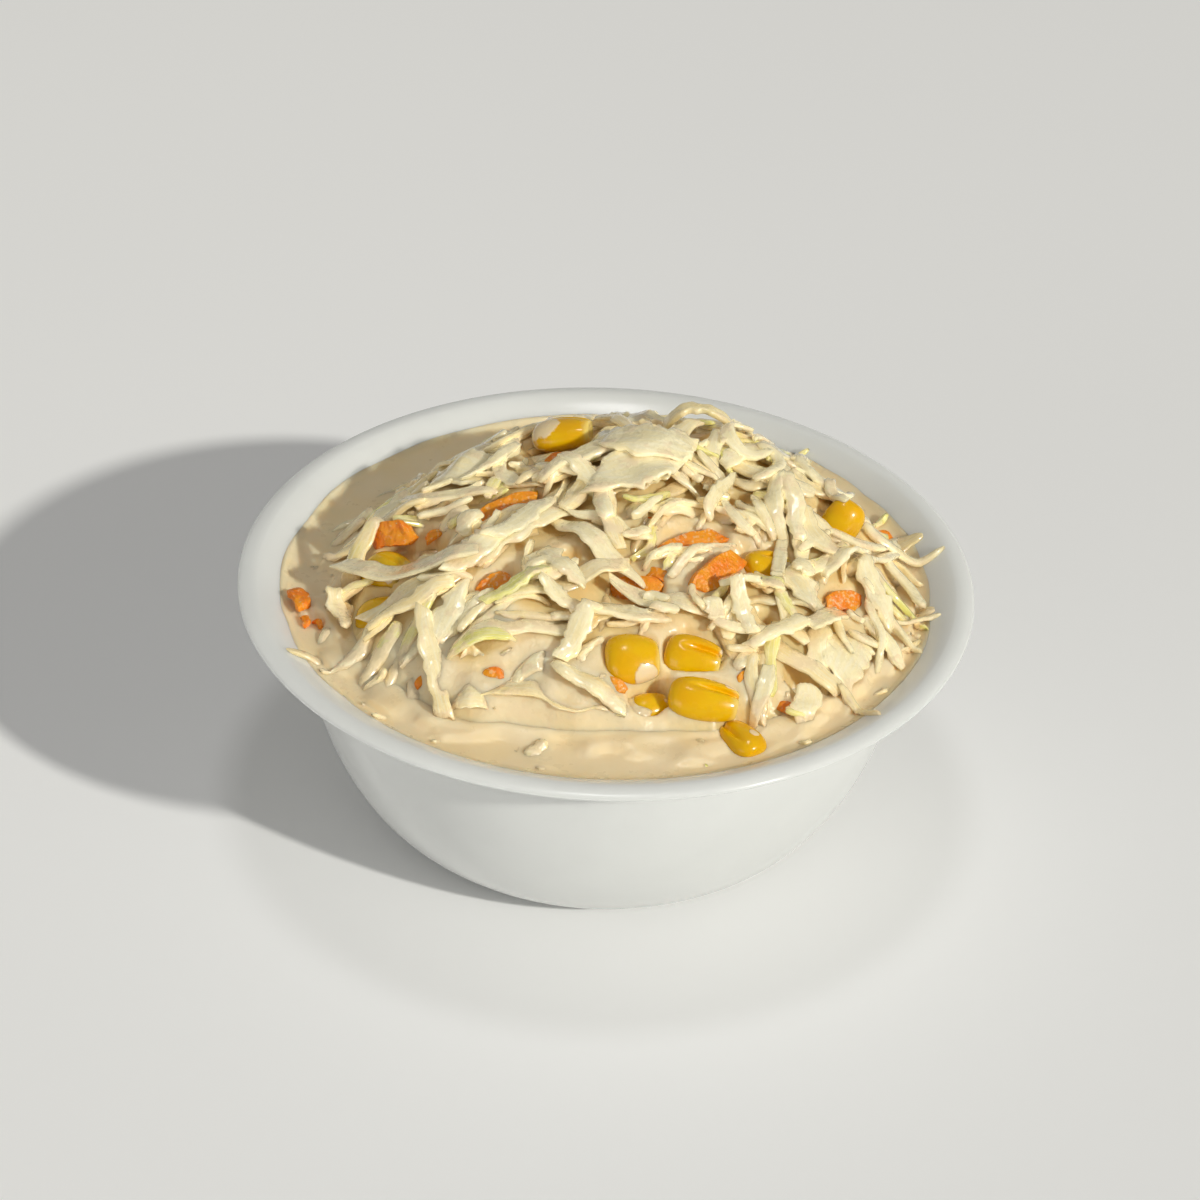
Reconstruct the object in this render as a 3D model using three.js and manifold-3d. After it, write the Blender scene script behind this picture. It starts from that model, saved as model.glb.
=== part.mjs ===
// Coleslaw heaped in a small white bowl.
// Millimetres, +Z up. The origin is the middle of the bowl's flat base; -Y is the front.
import * as THREE from "three";
import { mergeVertices } from "three/addons/utils/BufferGeometryUtils.js";
import Module from "manifold-3d";

// ---- Driving dimensions ----

// Bowl: a round-sided body on a flat base, with a lip that flares out at the top.
const BOWL_HEIGHT = 44;
const RIM_RADIUS = 60;
const BASE_RADIUS = 28.5;
const BODY_RADIUS = 50.3;
const BODY_RISE = 43.5; // height at which the round side would stand upright
const FLARE_START = 37;
const LIP_WIDTH = 2.8; // from the lip's outer edge to its crest
const LIP_EDGE = 0.85; // radius of the rounded edge
const CREST_RADIUS = RIM_RADIUS - LIP_WIDTH;
const FLOOR_THICKNESS = 3;
const FLOOR_RADIUS = 26;
const INNER_RADIUS = 47.6;
const INNER_RISE = 40.5;
const BOWL_SECTORS = 36;
const CURVE_STEPS = 4;

// Dressing: fills the bowl round and under the heap.
const LEVEL = 41;
const LEVEL_RADIUS = 52; // inside of the bowl at the dressing's level
const GAP = 0.3; // clearance between touching pieces

// Heap: an uneven mound, higher towards the back right.
const FOOT_X = 2;
const FOOT_Y = -1;
const FOOT_RADIUS = 44.5;
const PEAK = 15;
const BACK_RISE = 0.0075; // share of the peak gained for each millimetre to the back
const SEAT_DEPTH = 5; // how far the heap's core reaches below the dressing's level
const LIP_SLOPE = 0.55; // rise of the lip's inside for each millimetre outwards
const CORE_DROP = 0.6; // the core lies this far below the shreds
const CORE_BASE = 0.96; // the core's underside, as a share of its foot
const CORE_SECTORS = 30;
const CORE_RINGS = 9;

// Swells and hollows of the mound: x, y, height, spread.
const SWELLS = [
  [28, 24, 6, 16],
  [-4, 24, 1.2, 14],
  [-30, 2, -1, 12],
  [10, -30, -1, 14],
];

// Shreds
const SHRED_THICKNESS = 1.3;
const SHRED_STEPS = 4;
const CURL_STEPS = 7; // for shreds that turn by more than a right angle
const LEAF_WIDTH = 6; // a shred wider than this follows the mound across as well
const TUCK = 0.9; // how far a shred's ends dip below its middle
const FILLER_COUNT = 40;
const FILLER_LENGTHS = [24, 10]; // first and last
const FILLER_WIDTHS = [2.4, 4.6];
const SEED = 20417;

// The shreds that stand out: x, y, heading in degrees, length, width, turn in degrees, lift, arch.
const MAIN_SHREDS = [
  [-35, -22.4, 16, 30, 4.6, 10, 0.15, 0], // long strip down to the dressing, left
  [-13, -27.6, 3, 22, 4.2, -12, 0.65, 0.8], // pointed strip, front left
  [-21, -35.5, 5, 12, 9.5, 0, 0.05, 0], // broad leaf, front left
  [-20, -30.5, 2, 12, 3, 10, 0.25, 0], // pale green strip
  [38.5, -21.5, 72, 13, 6.4, 0, 0.25, 0], // upright broad strip, right
  [14.5, 21.5, 2, 12.5, 2.6, 0, 0.25, 4.6], // peaked strip at the top of the back
  [-2.5, -11.5, -42, 22, 4.2, 14, 0.55, 0.6], // long pale strip, middle
  [4, 6, 20, 15, 11, 0, 0.25, 0.8], // broad pale leaf, top
  [-26, 3.5, 18, 19, 3.6, -10, 0.25, 0], // pale green strip, left
  [-25, 13, -20, 13, 9, 0, 0.15, 1], // round leaf, back left
  [27, 10, 70, 17, 3.2, 200, 0.55, 1], // curl, back right
  [33, 22, 20, 16, 3.2, 210, 0.55, 1], // curl, back right
  [30, 2, 10, 20, 3.4, -120, 0.45, 0.8], // hooked strip, right
  [-38, -4, 62, 17, 3.4, -60, 0.25, 0.6], // curved strip, left
  [-27, -15, 28, 22, 5, 16, 0.45, 0.4], // strip over the low corn, left
  [-14, -8, 40, 20, 5.4, -14, 0.45, 0.5], // broad diagonal strip
  [-6, -20, 24, 22, 4.2, 30, 0.45, 0.5], // strip, middle front
  [12, -22, -6, 24, 4.4, 22, 0.45, 0.4], // strip above the front corn
  [27, -17, 8, 20, 3.8, -40, 0.45, 0.5], // strip, right
  [28, -26, -28, 20, 4.4, 40, 0.35, 0.4], // strip down to the right
  [-5, -38, -4, 26, 5.2, 8, -0.05, 0], // half-sunk strip, front
  [8.5, -43.6, -25, 11, 7, 0, -0.15, 0.4], // half-sunk leaf, front
  [45.5, 14, 22, 15, 5, -20, 0.15, 0], // tip over the dressing, right
  [47, -4, -10, 13, 5, 10, 0.15, 0], // tip over the dressing, right
  [-9, 17, -22, 20, 3.6, 20, 0.45, 0.5], // strip, back
  [8, 13, 52, 18, 3.8, -30, 0.45, 0.6], // strip, back
];

// Sweetcorn: x, y, lift, heading of the crown, length, width, thickness, roll, pitch (degrees).
const CORN = {
  corn_top: [-8.4, 20.6, 0.6, 172, 11.4, 8, 5, 8, 0],
  corn_left: [-35.4, -7.1, 0.4, 140, 10, 8, 5.4, 20, 0],
  corn_left_low: [-35.6, -15.7, -0.4, 165, 10, 7.6, 5, 0, 0],
  corn_right: [37.6, 5.4, 1.6, 80, 10.6, 7.2, 5, 0, 62],
  corn_middle: [25.6, -9.2, 0.2, 205, 9, 6.8, 4.8, -10, 0],
  corn_front_a: [4.4, -31.6, 0.9, 190, 9.4, 8.8, 5.6, 6, 0],
  corn_front_b: [13.8, -29.6, 0.7, 172, 9.8, 7.4, 5.2, -10, 0],
  corn_front_c: [15.6, -37.2, 1.8, 176, 12, 7.4, 5.4, 4, 0],
  corn_front_d: [7.4, -36.4, -1.5, 200, 6.6, 5.2, 3.6, 0, 0],
  corn_sunk: [21.9, -41, 0.3, -52, 8.8, 6.2, 4.4, 0, 0],
};
const CORN_SECTORS = 12;
const CORN_RINGS = 6;
const CORN_CUT = 0.82; // how wide the cut end is against the crown

// Carrot: x, y, lift, heading, length, width, thickness, roll, pitch (degrees).
const CARROT = {
  carrot_block: [-35, -0.4, 1.2, -16, 7.8, 4.2, 2.6, 34, 0],
  carrot_left: [-16.6, 0.6, 0.7, 17, 10.6, 3.2, 1.8, 30, 0],
  carrot_left_low: [-17.4, -18, 0.6, 24, 6, 2.8, 1.4, 20, 0],
  carrot_stick: [17.4, -14.6, 1.1, 50, 10.2, 3.8, 2.4, 26, 0],
  carrot_pale: [13.4, -7.6, 0.5, 27, 11.6, 3, 1.5, 20, 0],
  carrot_middle: [4.8, -17.8, 0.8, -4, 8, 4.2, 1.8, 24, 0],
  carrot_right: [38, -11.6, 0.6, 28, 7, 3.4, 1.4, 16, 0],
  carrot_wall: [-49.6, -9.6, 1.6, -66, 5.4, 2.6, 1.2, 0, 0],
};

// ---- Materials ----

function finish(color, roughness) {
  return new THREE.MeshStandardMaterial({ color, roughness, metalness: 0 });
}

const OPAL_GLASS = finish(0xe6e8e3, 0.18);
const CREAM = finish(0xf3e3c8, 0.35);
const CABBAGE = finish(0xefe4c8, 0.4);
const SWEETCORN = finish(0xeeb417, 0.28);
const CARROT_ORANGE = finish(0xee7a22, 0.42);

// ---- Solids ----

const wasm = await Module();
wasm.setup();

function solid(geometry) {
  geometry.deleteAttribute("normal");
  geometry.deleteAttribute("uv");
  const merged = mergeVertices(geometry, 1e-4);
  return new wasm.Manifold(
    new wasm.Mesh({
      numProp: 3,
      vertProperties: merged.attributes.position.array,
      triVerts: new Uint32Array(merged.index.array),
    }),
  );
}

function geometryOf(body) {
  const mesh = body.getMesh();
  const geometry = new THREE.BufferGeometry();
  geometry.setAttribute("position", new THREE.BufferAttribute(mesh.vertProperties, 3));
  geometry.setIndex(new THREE.BufferAttribute(mesh.triVerts, 1));
  geometry.computeVertexNormals();
  return geometry;
}

// The largest closed skin: drops loose scraps and fills sealed hollows.
function wholePiece(body) {
  return body.decompose().sort((a, b) => b.volume() - a.volume())[0];
}

// Moves every vertex of a geometry to the place that the function returns for it.
function reshape(geometry, place) {
  const position = geometry.getAttribute("position");
  const vertex = new THREE.Vector3();
  for (let i = 0; i < position.count; i++) {
    const moved = place(vertex.fromBufferAttribute(position, i));
    position.setXYZ(i, moved.x, moved.y, moved.z);
  }
  return geometry;
}

// ---- Bowl and dressing ----

// The quarter ellipse of a round side, from its foot up to the height at which the lip flares out.
function roundSide(path, footRadius, radius, footZ, rise, shift) {
  const endAngle = Math.asin((FLARE_START - footZ - rise) / rise);
  path.lineTo(footRadius - shift, footZ + shift);
  path.absellipse(
    footRadius - shift,
    footZ + rise + shift,
    radius - footRadius,
    rise,
    -Math.PI / 2,
    endAngle,
    false,
  );
}

function outsidePath() {
  const path = new THREE.Path().moveTo(0, 0);
  roundSide(path, BASE_RADIUS, BODY_RADIUS, 0, BODY_RISE, 0);
  const lipZ = BOWL_HEIGHT - LIP_EDGE;
  path.bezierCurveTo(
    BODY_RADIUS + 0.2,
    FLARE_START + 3.4,
    RIM_RADIUS - 5,
    lipZ - 2.6,
    RIM_RADIUS - LIP_EDGE * 0.5,
    lipZ - LIP_EDGE * 0.6,
  );
  path.quadraticCurveTo(RIM_RADIUS + 0.9, lipZ + 0.6, CREST_RADIUS + LIP_EDGE, BOWL_HEIGHT);
  return path;
}

// The bowl's inside from its floor up to the lip's crest, drawn in by a shift.
function insidePath(shift) {
  const path = new THREE.Path().moveTo(0, FLOOR_THICKNESS + shift);
  roundSide(path, FLOOR_RADIUS, INNER_RADIUS, FLOOR_THICKNESS, INNER_RISE, shift);
  path.quadraticCurveTo(
    INNER_RADIUS + 0.8 - shift,
    LEVEL - 1.8 + shift,
    LEVEL_RADIUS - shift,
    LEVEL + shift,
  );
  path.quadraticCurveTo(
    LEVEL_RADIUS + 3.4 - shift,
    BOWL_HEIGHT - 0.5 + shift,
    CREST_RADIUS - shift,
    BOWL_HEIGHT + shift,
  );
  return path;
}

function lathe(points) {
  return new THREE.LatheGeometry(points, BOWL_SECTORS).rotateX(Math.PI / 2);
}

function bowlGeometry() {
  const outside = outsidePath().getPoints(CURVE_STEPS);
  const inside = insidePath(0).getPoints(CURVE_STEPS);
  return lathe([...outside, ...inside.reverse()]);
}

// The room inside the bowl and above it.
function roomGeometry() {
  const path = insidePath(GAP);
  path.lineTo(CREST_RADIUS - GAP, 2 * BOWL_HEIGHT);
  path.lineTo(0, 2 * BOWL_HEIGHT);
  return lathe(path.getPoints(CURVE_STEPS));
}

// Everything from the floor up to a height.
function slabGeometry(height) {
  const side = 3 * RIM_RADIUS;
  return new THREE.BoxGeometry(side, side, height).translate(0, 0, height / 2);
}

function dressingBody(garnishSeats) {
  let dressing = solid(roomGeometry()).intersect(solid(slabGeometry(LEVEL)));
  dressing = dressing.subtract(solid(seatGeometry()));
  for (const seat of garnishSeats) dressing = dressing.subtract(seat);
  return wholePiece(dressing);
}

// ---- Heap ----

function footRadius(angle) {
  const waves =
    0.03 * Math.cos(2 * angle - 0.9) +
    0.022 * Math.cos(3 * angle + 0.9) +
    0.015 * Math.cos(5 * angle - 1);
  return FOOT_RADIUS * (1 + waves);
}

// Top of the heap's mound at a place, or the dressing's level beyond its foot.
function moundHeight(x, y) {
  const reach = Math.hypot(x - FOOT_X, y - FOOT_Y);
  const share = reach / footRadius(Math.atan2(y - FOOT_Y, x - FOOT_X));
  if (share >= 1) return LEVEL;
  const dome = (1 - share ** 2.4) ** 0.85;
  let rise = PEAK * (1 + BACK_RISE * y);
  for (const [swellX, swellY, height, spread] of SWELLS) {
    rise += height * Math.exp(-((x - swellX) ** 2 + (y - swellY) ** 2) / spread ** 2);
  }
  rise += 0.9 * Math.sin(0.16 * x + 1.2) * Math.cos(0.14 * y - 0.4);
  rise += 0.5 * Math.sin(0.31 * x - 0.22 * y);
  return LEVEL + dome * rise;
}

// A lathe whose radius of 1 is the heap's foot, moved out by a margin. The function gives its heights.
function footprintLathe(profile, margin, heightAt) {
  const geometry = new THREE.LatheGeometry(profile, CORE_SECTORS).rotateX(Math.PI / 2);
  return reshape(geometry, (vertex) => {
    const angle = Math.atan2(vertex.y, vertex.x);
    const radius = Math.hypot(vertex.x, vertex.y) * (footRadius(angle) + margin);
    const x = FOOT_X + radius * Math.cos(angle);
    const y = FOOT_Y + radius * Math.sin(angle);
    return new THREE.Vector3(x, y, heightAt(x, y, vertex.z));
  });
}

function coreGeometry() {
  const seat = LEVEL - SEAT_DEPTH;
  const profile = [new THREE.Vector2(0, seat), new THREE.Vector2(CORE_BASE, seat)];
  for (let ring = 0; ring <= CORE_RINGS; ring++) {
    profile.push(new THREE.Vector2(Math.sqrt(1 - ring / CORE_RINGS), LEVEL));
  }
  return footprintLathe(profile, 0, (x, y, z) =>
    z < LEVEL ? z : Math.max(LEVEL, moundHeight(x, y) - CORE_DROP),
  );
}

// The hollow that the core's lower part leaves in the dressing.
function seatGeometry() {
  const seat = LEVEL - SEAT_DEPTH - GAP;
  const outline = [
    [0, seat],
    [CORE_BASE, seat],
    [1, LEVEL],
    [1, LEVEL + 1],
    [0, LEVEL + 1],
  ];
  const profile = outline.map(([share, z]) => new THREE.Vector2(share, z));
  return footprintLathe(profile, GAP, (x, y, z) => z);
}

// A strip bent along an arc over the mound. Both faces follow the same path.
function shredGeometry([x, y, heading, length, width, turn, lift, arch]) {
  const middle = THREE.MathUtils.degToRad(heading);
  const turning = THREE.MathUtils.degToRad(turn || 1);
  const radius = length / turning;
  const steps = Math.abs(turn) > 90 ? CURL_STEPS : SHRED_STEPS;
  const across = width > LEAF_WIDTH ? 2 : 1;
  const box = new THREE.BoxGeometry(1, 1, SHRED_THICKNESS, steps, across, 1);
  return reshape(box, (vertex) => {
    const angle = middle + vertex.x * turning;
    const centreX = x + radius * (Math.sin(angle) - Math.sin(middle));
    const centreY = y - radius * (Math.cos(angle) - Math.cos(middle));
    const taper = 1 - 0.55 * Math.abs(2 * vertex.x) ** 3;
    const side = vertex.y * width * taper;
    const placeX = centreX - side * Math.sin(angle);
    const placeY = centreY + side * Math.cos(angle);
    const mound = moundHeight(placeX, placeY);
    const upTheLip = LIP_SLOPE * Math.max(0, Math.hypot(placeX, placeY) - LEVEL_RADIUS + 2);
    const ground = Math.max(mound, LEVEL + GAP + SHRED_THICKNESS / 2 + upTheLip);
    const bow = (arch + TUCK) * (1 - Math.abs(2 * vertex.x) ** 2.4) - TUCK;
    const onHeap = Math.min(1, (mound - LEVEL) / 2);
    return new THREE.Vector3(placeX, placeY, ground + vertex.z + (lift + bow) * onHeap);
  });
}

// Draws repeatable numbers from 0 to 1.
function drawing(seed) {
  let state = seed;
  return () => {
    state = (state * 16807) % 2147483647;
    return state / 2147483647;
  };
}

// Shreds spread evenly over the heap, the longest first. Those on the left mostly run the same way.
function fillerShreds() {
  const draw = drawing(SEED);
  const goldenAngle = Math.PI * (3 - Math.sqrt(5));
  const shreds = [];
  for (let i = 0; i < FILLER_COUNT; i++) {
    const share = Math.sqrt((i + 0.5) / FILLER_COUNT);
    const angle = i * goldenAngle;
    const reach = 0.9 * share * footRadius(angle);
    const x = FOOT_X + reach * Math.cos(angle);
    const y = FOOT_Y + reach * Math.sin(angle);
    const order = (i * 7) % FILLER_COUNT;
    const length = THREE.MathUtils.lerp(...FILLER_LENGTHS, order / FILLER_COUNT);
    const width = THREE.MathUtils.lerp(...FILLER_WIDTHS, draw());
    const spread = x < 0 ? 50 : 140;
    const heading = 28 + spread * (draw() - 0.5) * 2;
    const turn = 120 * (draw() - 0.5);
    shreds.push([x, y, heading, length, width, turn, 0.6 * draw(), 1.4 * draw()]);
  }
  return shreds.sort((a, b) => b[3] - a[3]);
}

// A shred that is clear of the garnish, shortened where it has to be, or none.
function fittedShred(row, garnishSeats) {
  const overlap = 0.5;
  for (const share of [1, 0.7, 0.45]) {
    const shorter = row.with(3, row[3] * share);
    const strip = solid(shredGeometry(shorter));
    if (garnishSeats.every((seat) => strip.intersect(seat).volume() < overlap)) return strip;
  }
  return null;
}

function slawBody(garnishSeats) {
  const main = MAIN_SHREDS.map((row) => solid(shredGeometry(row)));
  const filler = fillerShreds().map((row) => fittedShred(row, garnishSeats)).filter(Boolean);
  let heap = main[0];
  for (const strip of [...main.slice(1), ...filler]) heap = heap.add(strip);
  heap = heap.subtract(solid(slabGeometry(LEVEL + GAP))).add(solid(coreGeometry()));
  heap = heap.intersect(solid(roomGeometry()));
  for (const seat of garnishSeats) heap = heap.subtract(seat);
  return wholePiece(heap);
}

// ---- Garnish ----

// Turns a piece, lays it against the mound at its place and sets its height.
function settle(geometry, [x, y, lift, heading], roll, pitch) {
  geometry.rotateX(THREE.MathUtils.degToRad(roll));
  geometry.rotateY(-THREE.MathUtils.degToRad(pitch));
  geometry.rotateZ(THREE.MathUtils.degToRad(heading));
  const step = 2;
  const slopeX = (moundHeight(x + step, y) - moundHeight(x - step, y)) / (2 * step);
  const slopeY = (moundHeight(x, y + step) - moundHeight(x, y - step)) / (2 * step);
  const up = new THREE.Vector3(-slopeX, -slopeY, 1).normalize();
  geometry.applyQuaternion(new THREE.Quaternion().setFromUnitVectors(new THREE.Vector3(0, 0, 1), up));
  return geometry.translate(x, y, moundHeight(x, y) + lift);
}

// A kernel of sweetcorn: a round crown at +X, a flat cut end at -X and a dent along the crown.
function cornGeometry(row, grow) {
  const [length, width, thickness, roll, pitch] = row.slice(4);
  const ball = new THREE.SphereGeometry(1, CORN_SECTORS, CORN_RINGS).rotateZ(Math.PI / 2);
  reshape(ball, (vertex) => {
    const along = Math.max(vertex.x, -0.86);
    const back = (1 - along) / 2;
    const full = Math.sqrt(1 - Math.min(0.97, along * along)) ** -0.45;
    const narrow = THREE.MathUtils.lerp(1, CORN_CUT, back) * Math.min(full, 1.5);
    const dent = 0.12 * Math.max(0, along) * (1 - vertex.y * vertex.y);
    return new THREE.Vector3(
      (along - dent) * (length / 2 + grow),
      vertex.y * narrow * (width / 2 + grow),
      vertex.z * narrow * (thickness / 2 + grow),
    );
  });
  return settle(ball, row, roll, pitch);
}

// A shred of carrot: a squared stick, bowed and slightly tapered.
function carrotGeometry(row, grow) {
  const [length, width, thickness, roll, pitch] = row.slice(4);
  const box = new THREE.BoxGeometry(
    length + 2 * grow,
    width + 2 * grow,
    thickness + 2 * grow,
    4,
    1,
    1,
  );
  reshape(box, (vertex) => {
    const along = (2 * vertex.x) / length;
    const taper = 1 - 0.25 * along ** 4;
    const bow = 0.5 * (1 - along * along);
    return new THREE.Vector3(vertex.x, vertex.y * taper + bow, vertex.z * taper + 0.4 * bow);
  });
  return settle(box, row, roll, pitch);
}

// ---- The part ----

function part(name, geometry, material) {
  const mesh = new THREE.Mesh(geometry, material);
  mesh.name = name;
  return mesh;
}

const garnish = new THREE.Group();
const seats = [];
for (const [name, row] of Object.entries(CORN)) {
  garnish.add(part(name, cornGeometry(row, 0), SWEETCORN.clone()));
  seats.push(solid(cornGeometry(row, GAP)));
}
for (const [name, row] of Object.entries(CARROT)) {
  garnish.add(part(name, carrotGeometry(row, 0), CARROT_ORANGE.clone()));
  seats.push(solid(carrotGeometry(row, GAP)));
}

const coleslaw = new THREE.Group();
coleslaw.add(part("bowl", bowlGeometry(), OPAL_GLASS));
coleslaw.add(part("dressing", geometryOf(dressingBody(seats)), CREAM));
coleslaw.add(part("slaw", geometryOf(slawBody(seats)), CABBAGE));
coleslaw.add(garnish);

export default coleslaw;
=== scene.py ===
"""Coleslaw heaped in a small opal glass bowl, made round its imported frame.

Lengths are millimetres while a piece is shaped and become metres when it is finished.
The front of the bowl faces -Y.
"""

import math
from functools import lru_cache

import bmesh
import bpy
import numpy as np
from bpy.props import FloatProperty, FloatVectorProperty, IntProperty, PointerProperty
from mathutils import Matrix, Quaternion, Vector


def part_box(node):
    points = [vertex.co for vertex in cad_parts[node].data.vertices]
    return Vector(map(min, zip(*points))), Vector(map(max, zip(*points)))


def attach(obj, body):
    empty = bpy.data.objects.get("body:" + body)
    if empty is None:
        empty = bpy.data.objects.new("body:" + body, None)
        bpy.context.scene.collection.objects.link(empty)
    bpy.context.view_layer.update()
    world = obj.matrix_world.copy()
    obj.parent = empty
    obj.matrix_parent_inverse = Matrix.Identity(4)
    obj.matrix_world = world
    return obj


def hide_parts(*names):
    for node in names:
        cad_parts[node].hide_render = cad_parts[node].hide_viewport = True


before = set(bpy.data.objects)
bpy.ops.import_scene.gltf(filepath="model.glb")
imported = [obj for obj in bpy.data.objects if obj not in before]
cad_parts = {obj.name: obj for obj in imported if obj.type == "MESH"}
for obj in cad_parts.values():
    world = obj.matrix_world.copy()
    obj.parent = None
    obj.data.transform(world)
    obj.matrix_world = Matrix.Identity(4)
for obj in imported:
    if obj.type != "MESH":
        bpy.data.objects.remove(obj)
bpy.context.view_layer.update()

bl_info = {
    "name": "Coleslaw in a Bowl",
    "version": (1, 0, 0),
    "blender": (4, 5, 0),
    "location": "View3D > Sidebar > Coleslaw",
    "description": "Makes a small bowl of coleslaw with sweetcorn and carrot",
    "category": "Object",
}

MM = 0.001
BODY = "root"


def from_frame(node, corner, axis):
    """One side of a node's box, in millimetres."""
    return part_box(node)[corner][axis] / MM


# ---- Sizes that the frame gives ----

BOWL_HEIGHT = from_frame("bowl", 1, 2)
RIM_RADIUS = 60.0
LEVEL = round(from_frame("dressing", 1, 2), 2)
SEAT_Z = round(from_frame("slaw", 0, 2), 2)

# ---- Bowl ----

BASE_RADIUS = 28.5
BODY_RADIUS = 50.3
BODY_RISE = 43.5
FLARE_START = 37.0
LIP_WIDTH = 2.8
LIP_EDGE = 0.85
CREST_RADIUS = RIM_RADIUS - LIP_WIDTH
FLOOR_THICKNESS = 3.0
FLOOR_RADIUS = 26.0
INNER_RADIUS = 47.6
INNER_RISE = 40.5
LEVEL_RADIUS = 52.0

# ---- Heap ----

FOOT_X, FOOT_Y = 2.0, -1.0  # the heap's middle
BACK_RISE = 0.0075  # share by which the mound is higher for each millimetre towards the back
LIP_SLOPE = 0.55  # a strip that reaches the wall rises this steeply
SWELLS = (  # x, y, height, spread
    (28, 24, 6, 16),
    (-4, 24, 1.2, 14),
    (-30, 2, -1, 12),
    (10, -30, -1, 14),
)
BED_DEPTH = 3.4  # the lowest shreds lie this far below the mound
SUNK_DEPTH = 1.1  # shreds beyond the foot start this far below the dressing's level
BED_CEILING = 1.3  # each kind of shred stays below its ceiling over the mound
TOP_CEILING = 4.9
UPPER_CEILING = 2 * TOP_CEILING
SUNK_CEILING = 1.3
PLACE_TRIES = 2  # random places that a loose shred takes the lowest of
BED_STEPS = 12  # steps along a shred of the bed
BRIDGE_THICKNESS = 0.8  # of the shreds that lie over the corn
FILM_CEILING = 2.4  # the cream never stands higher over the mound
FILM_DROP = 0.4  # the cream meets a piece of garnish this far below its middle
FILM_REACH = 0.5  # the cream fills gaps up to twice as wide
FRONT_REACH = 2.0  # the same at the front
CREST_REACH = 2.5  # gaps up to twice as wide count as gaps
GAP_DEPTH = 3.4  # this far below the tops of the shreds a gap has its deepest painted shade
FILM_SPREAD = 0.35  # how far the cream rounds off what it covers
FRONT_SHARE = 0.35  # of its ceiling, that a loose shred keeps at the front foot
BACK_LOSS = 0.15  # of its ceiling, that a loose shred gives up at the back
TUCK = 0.9  # how far the ends of a large shred dip into the heap
HEADROOM = 2.8  # loose shreds stop up to this far below their ceiling, each its own way
LEAF_WIDTH = 6.0  # wider shreds are leaves, which follow the heap all across
SLIM_WIDTH = 3.0  # slimmer shreds roll more, and some of them curl
FILLER_COUNT = 40
FILLER_REACH = 0.9  # share of the foot's radius
FILLER_LENGTHS = (24, 10)
FILLER_WIDTHS = (2.4, 4.6)
FILLER_HEADING = 28
FILLER_SPREADS = (50, 140)  # of the headings, on the left and on the right
FILLER_TURN = 120
FILLER_LIFT = 0.6
FILLER_ARCH = 1.4
FILLER_SEED = 20417

# Loose shreds: the share of them up to each kind, its lengths and its widths.
LOOSE_KINDS = (
    (0.05, (5, 9), (1.4, 2.4)),  # bits
    (0.5, (12, 26), (1.3, 2.5)),  # slim strips
    (0.92, (14, 28), (2.5, 4.4)),  # broad strips
    (1.0, (9, 14), (4.6, 7.5)),  # leaves
)
LOOSE_TONES = (0.05, 0.2, 0.42, 0.85)
LOOSE_TONE_SHARES = (0.3, 0.3, 0.26, 0.14)
LOOSE_HEADING = (36, 28)  # mean and spread on the left
CURL_SHARE = 0.6  # of the slim shreds at the back right
CURL_TURNS = (130, 260)

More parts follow.
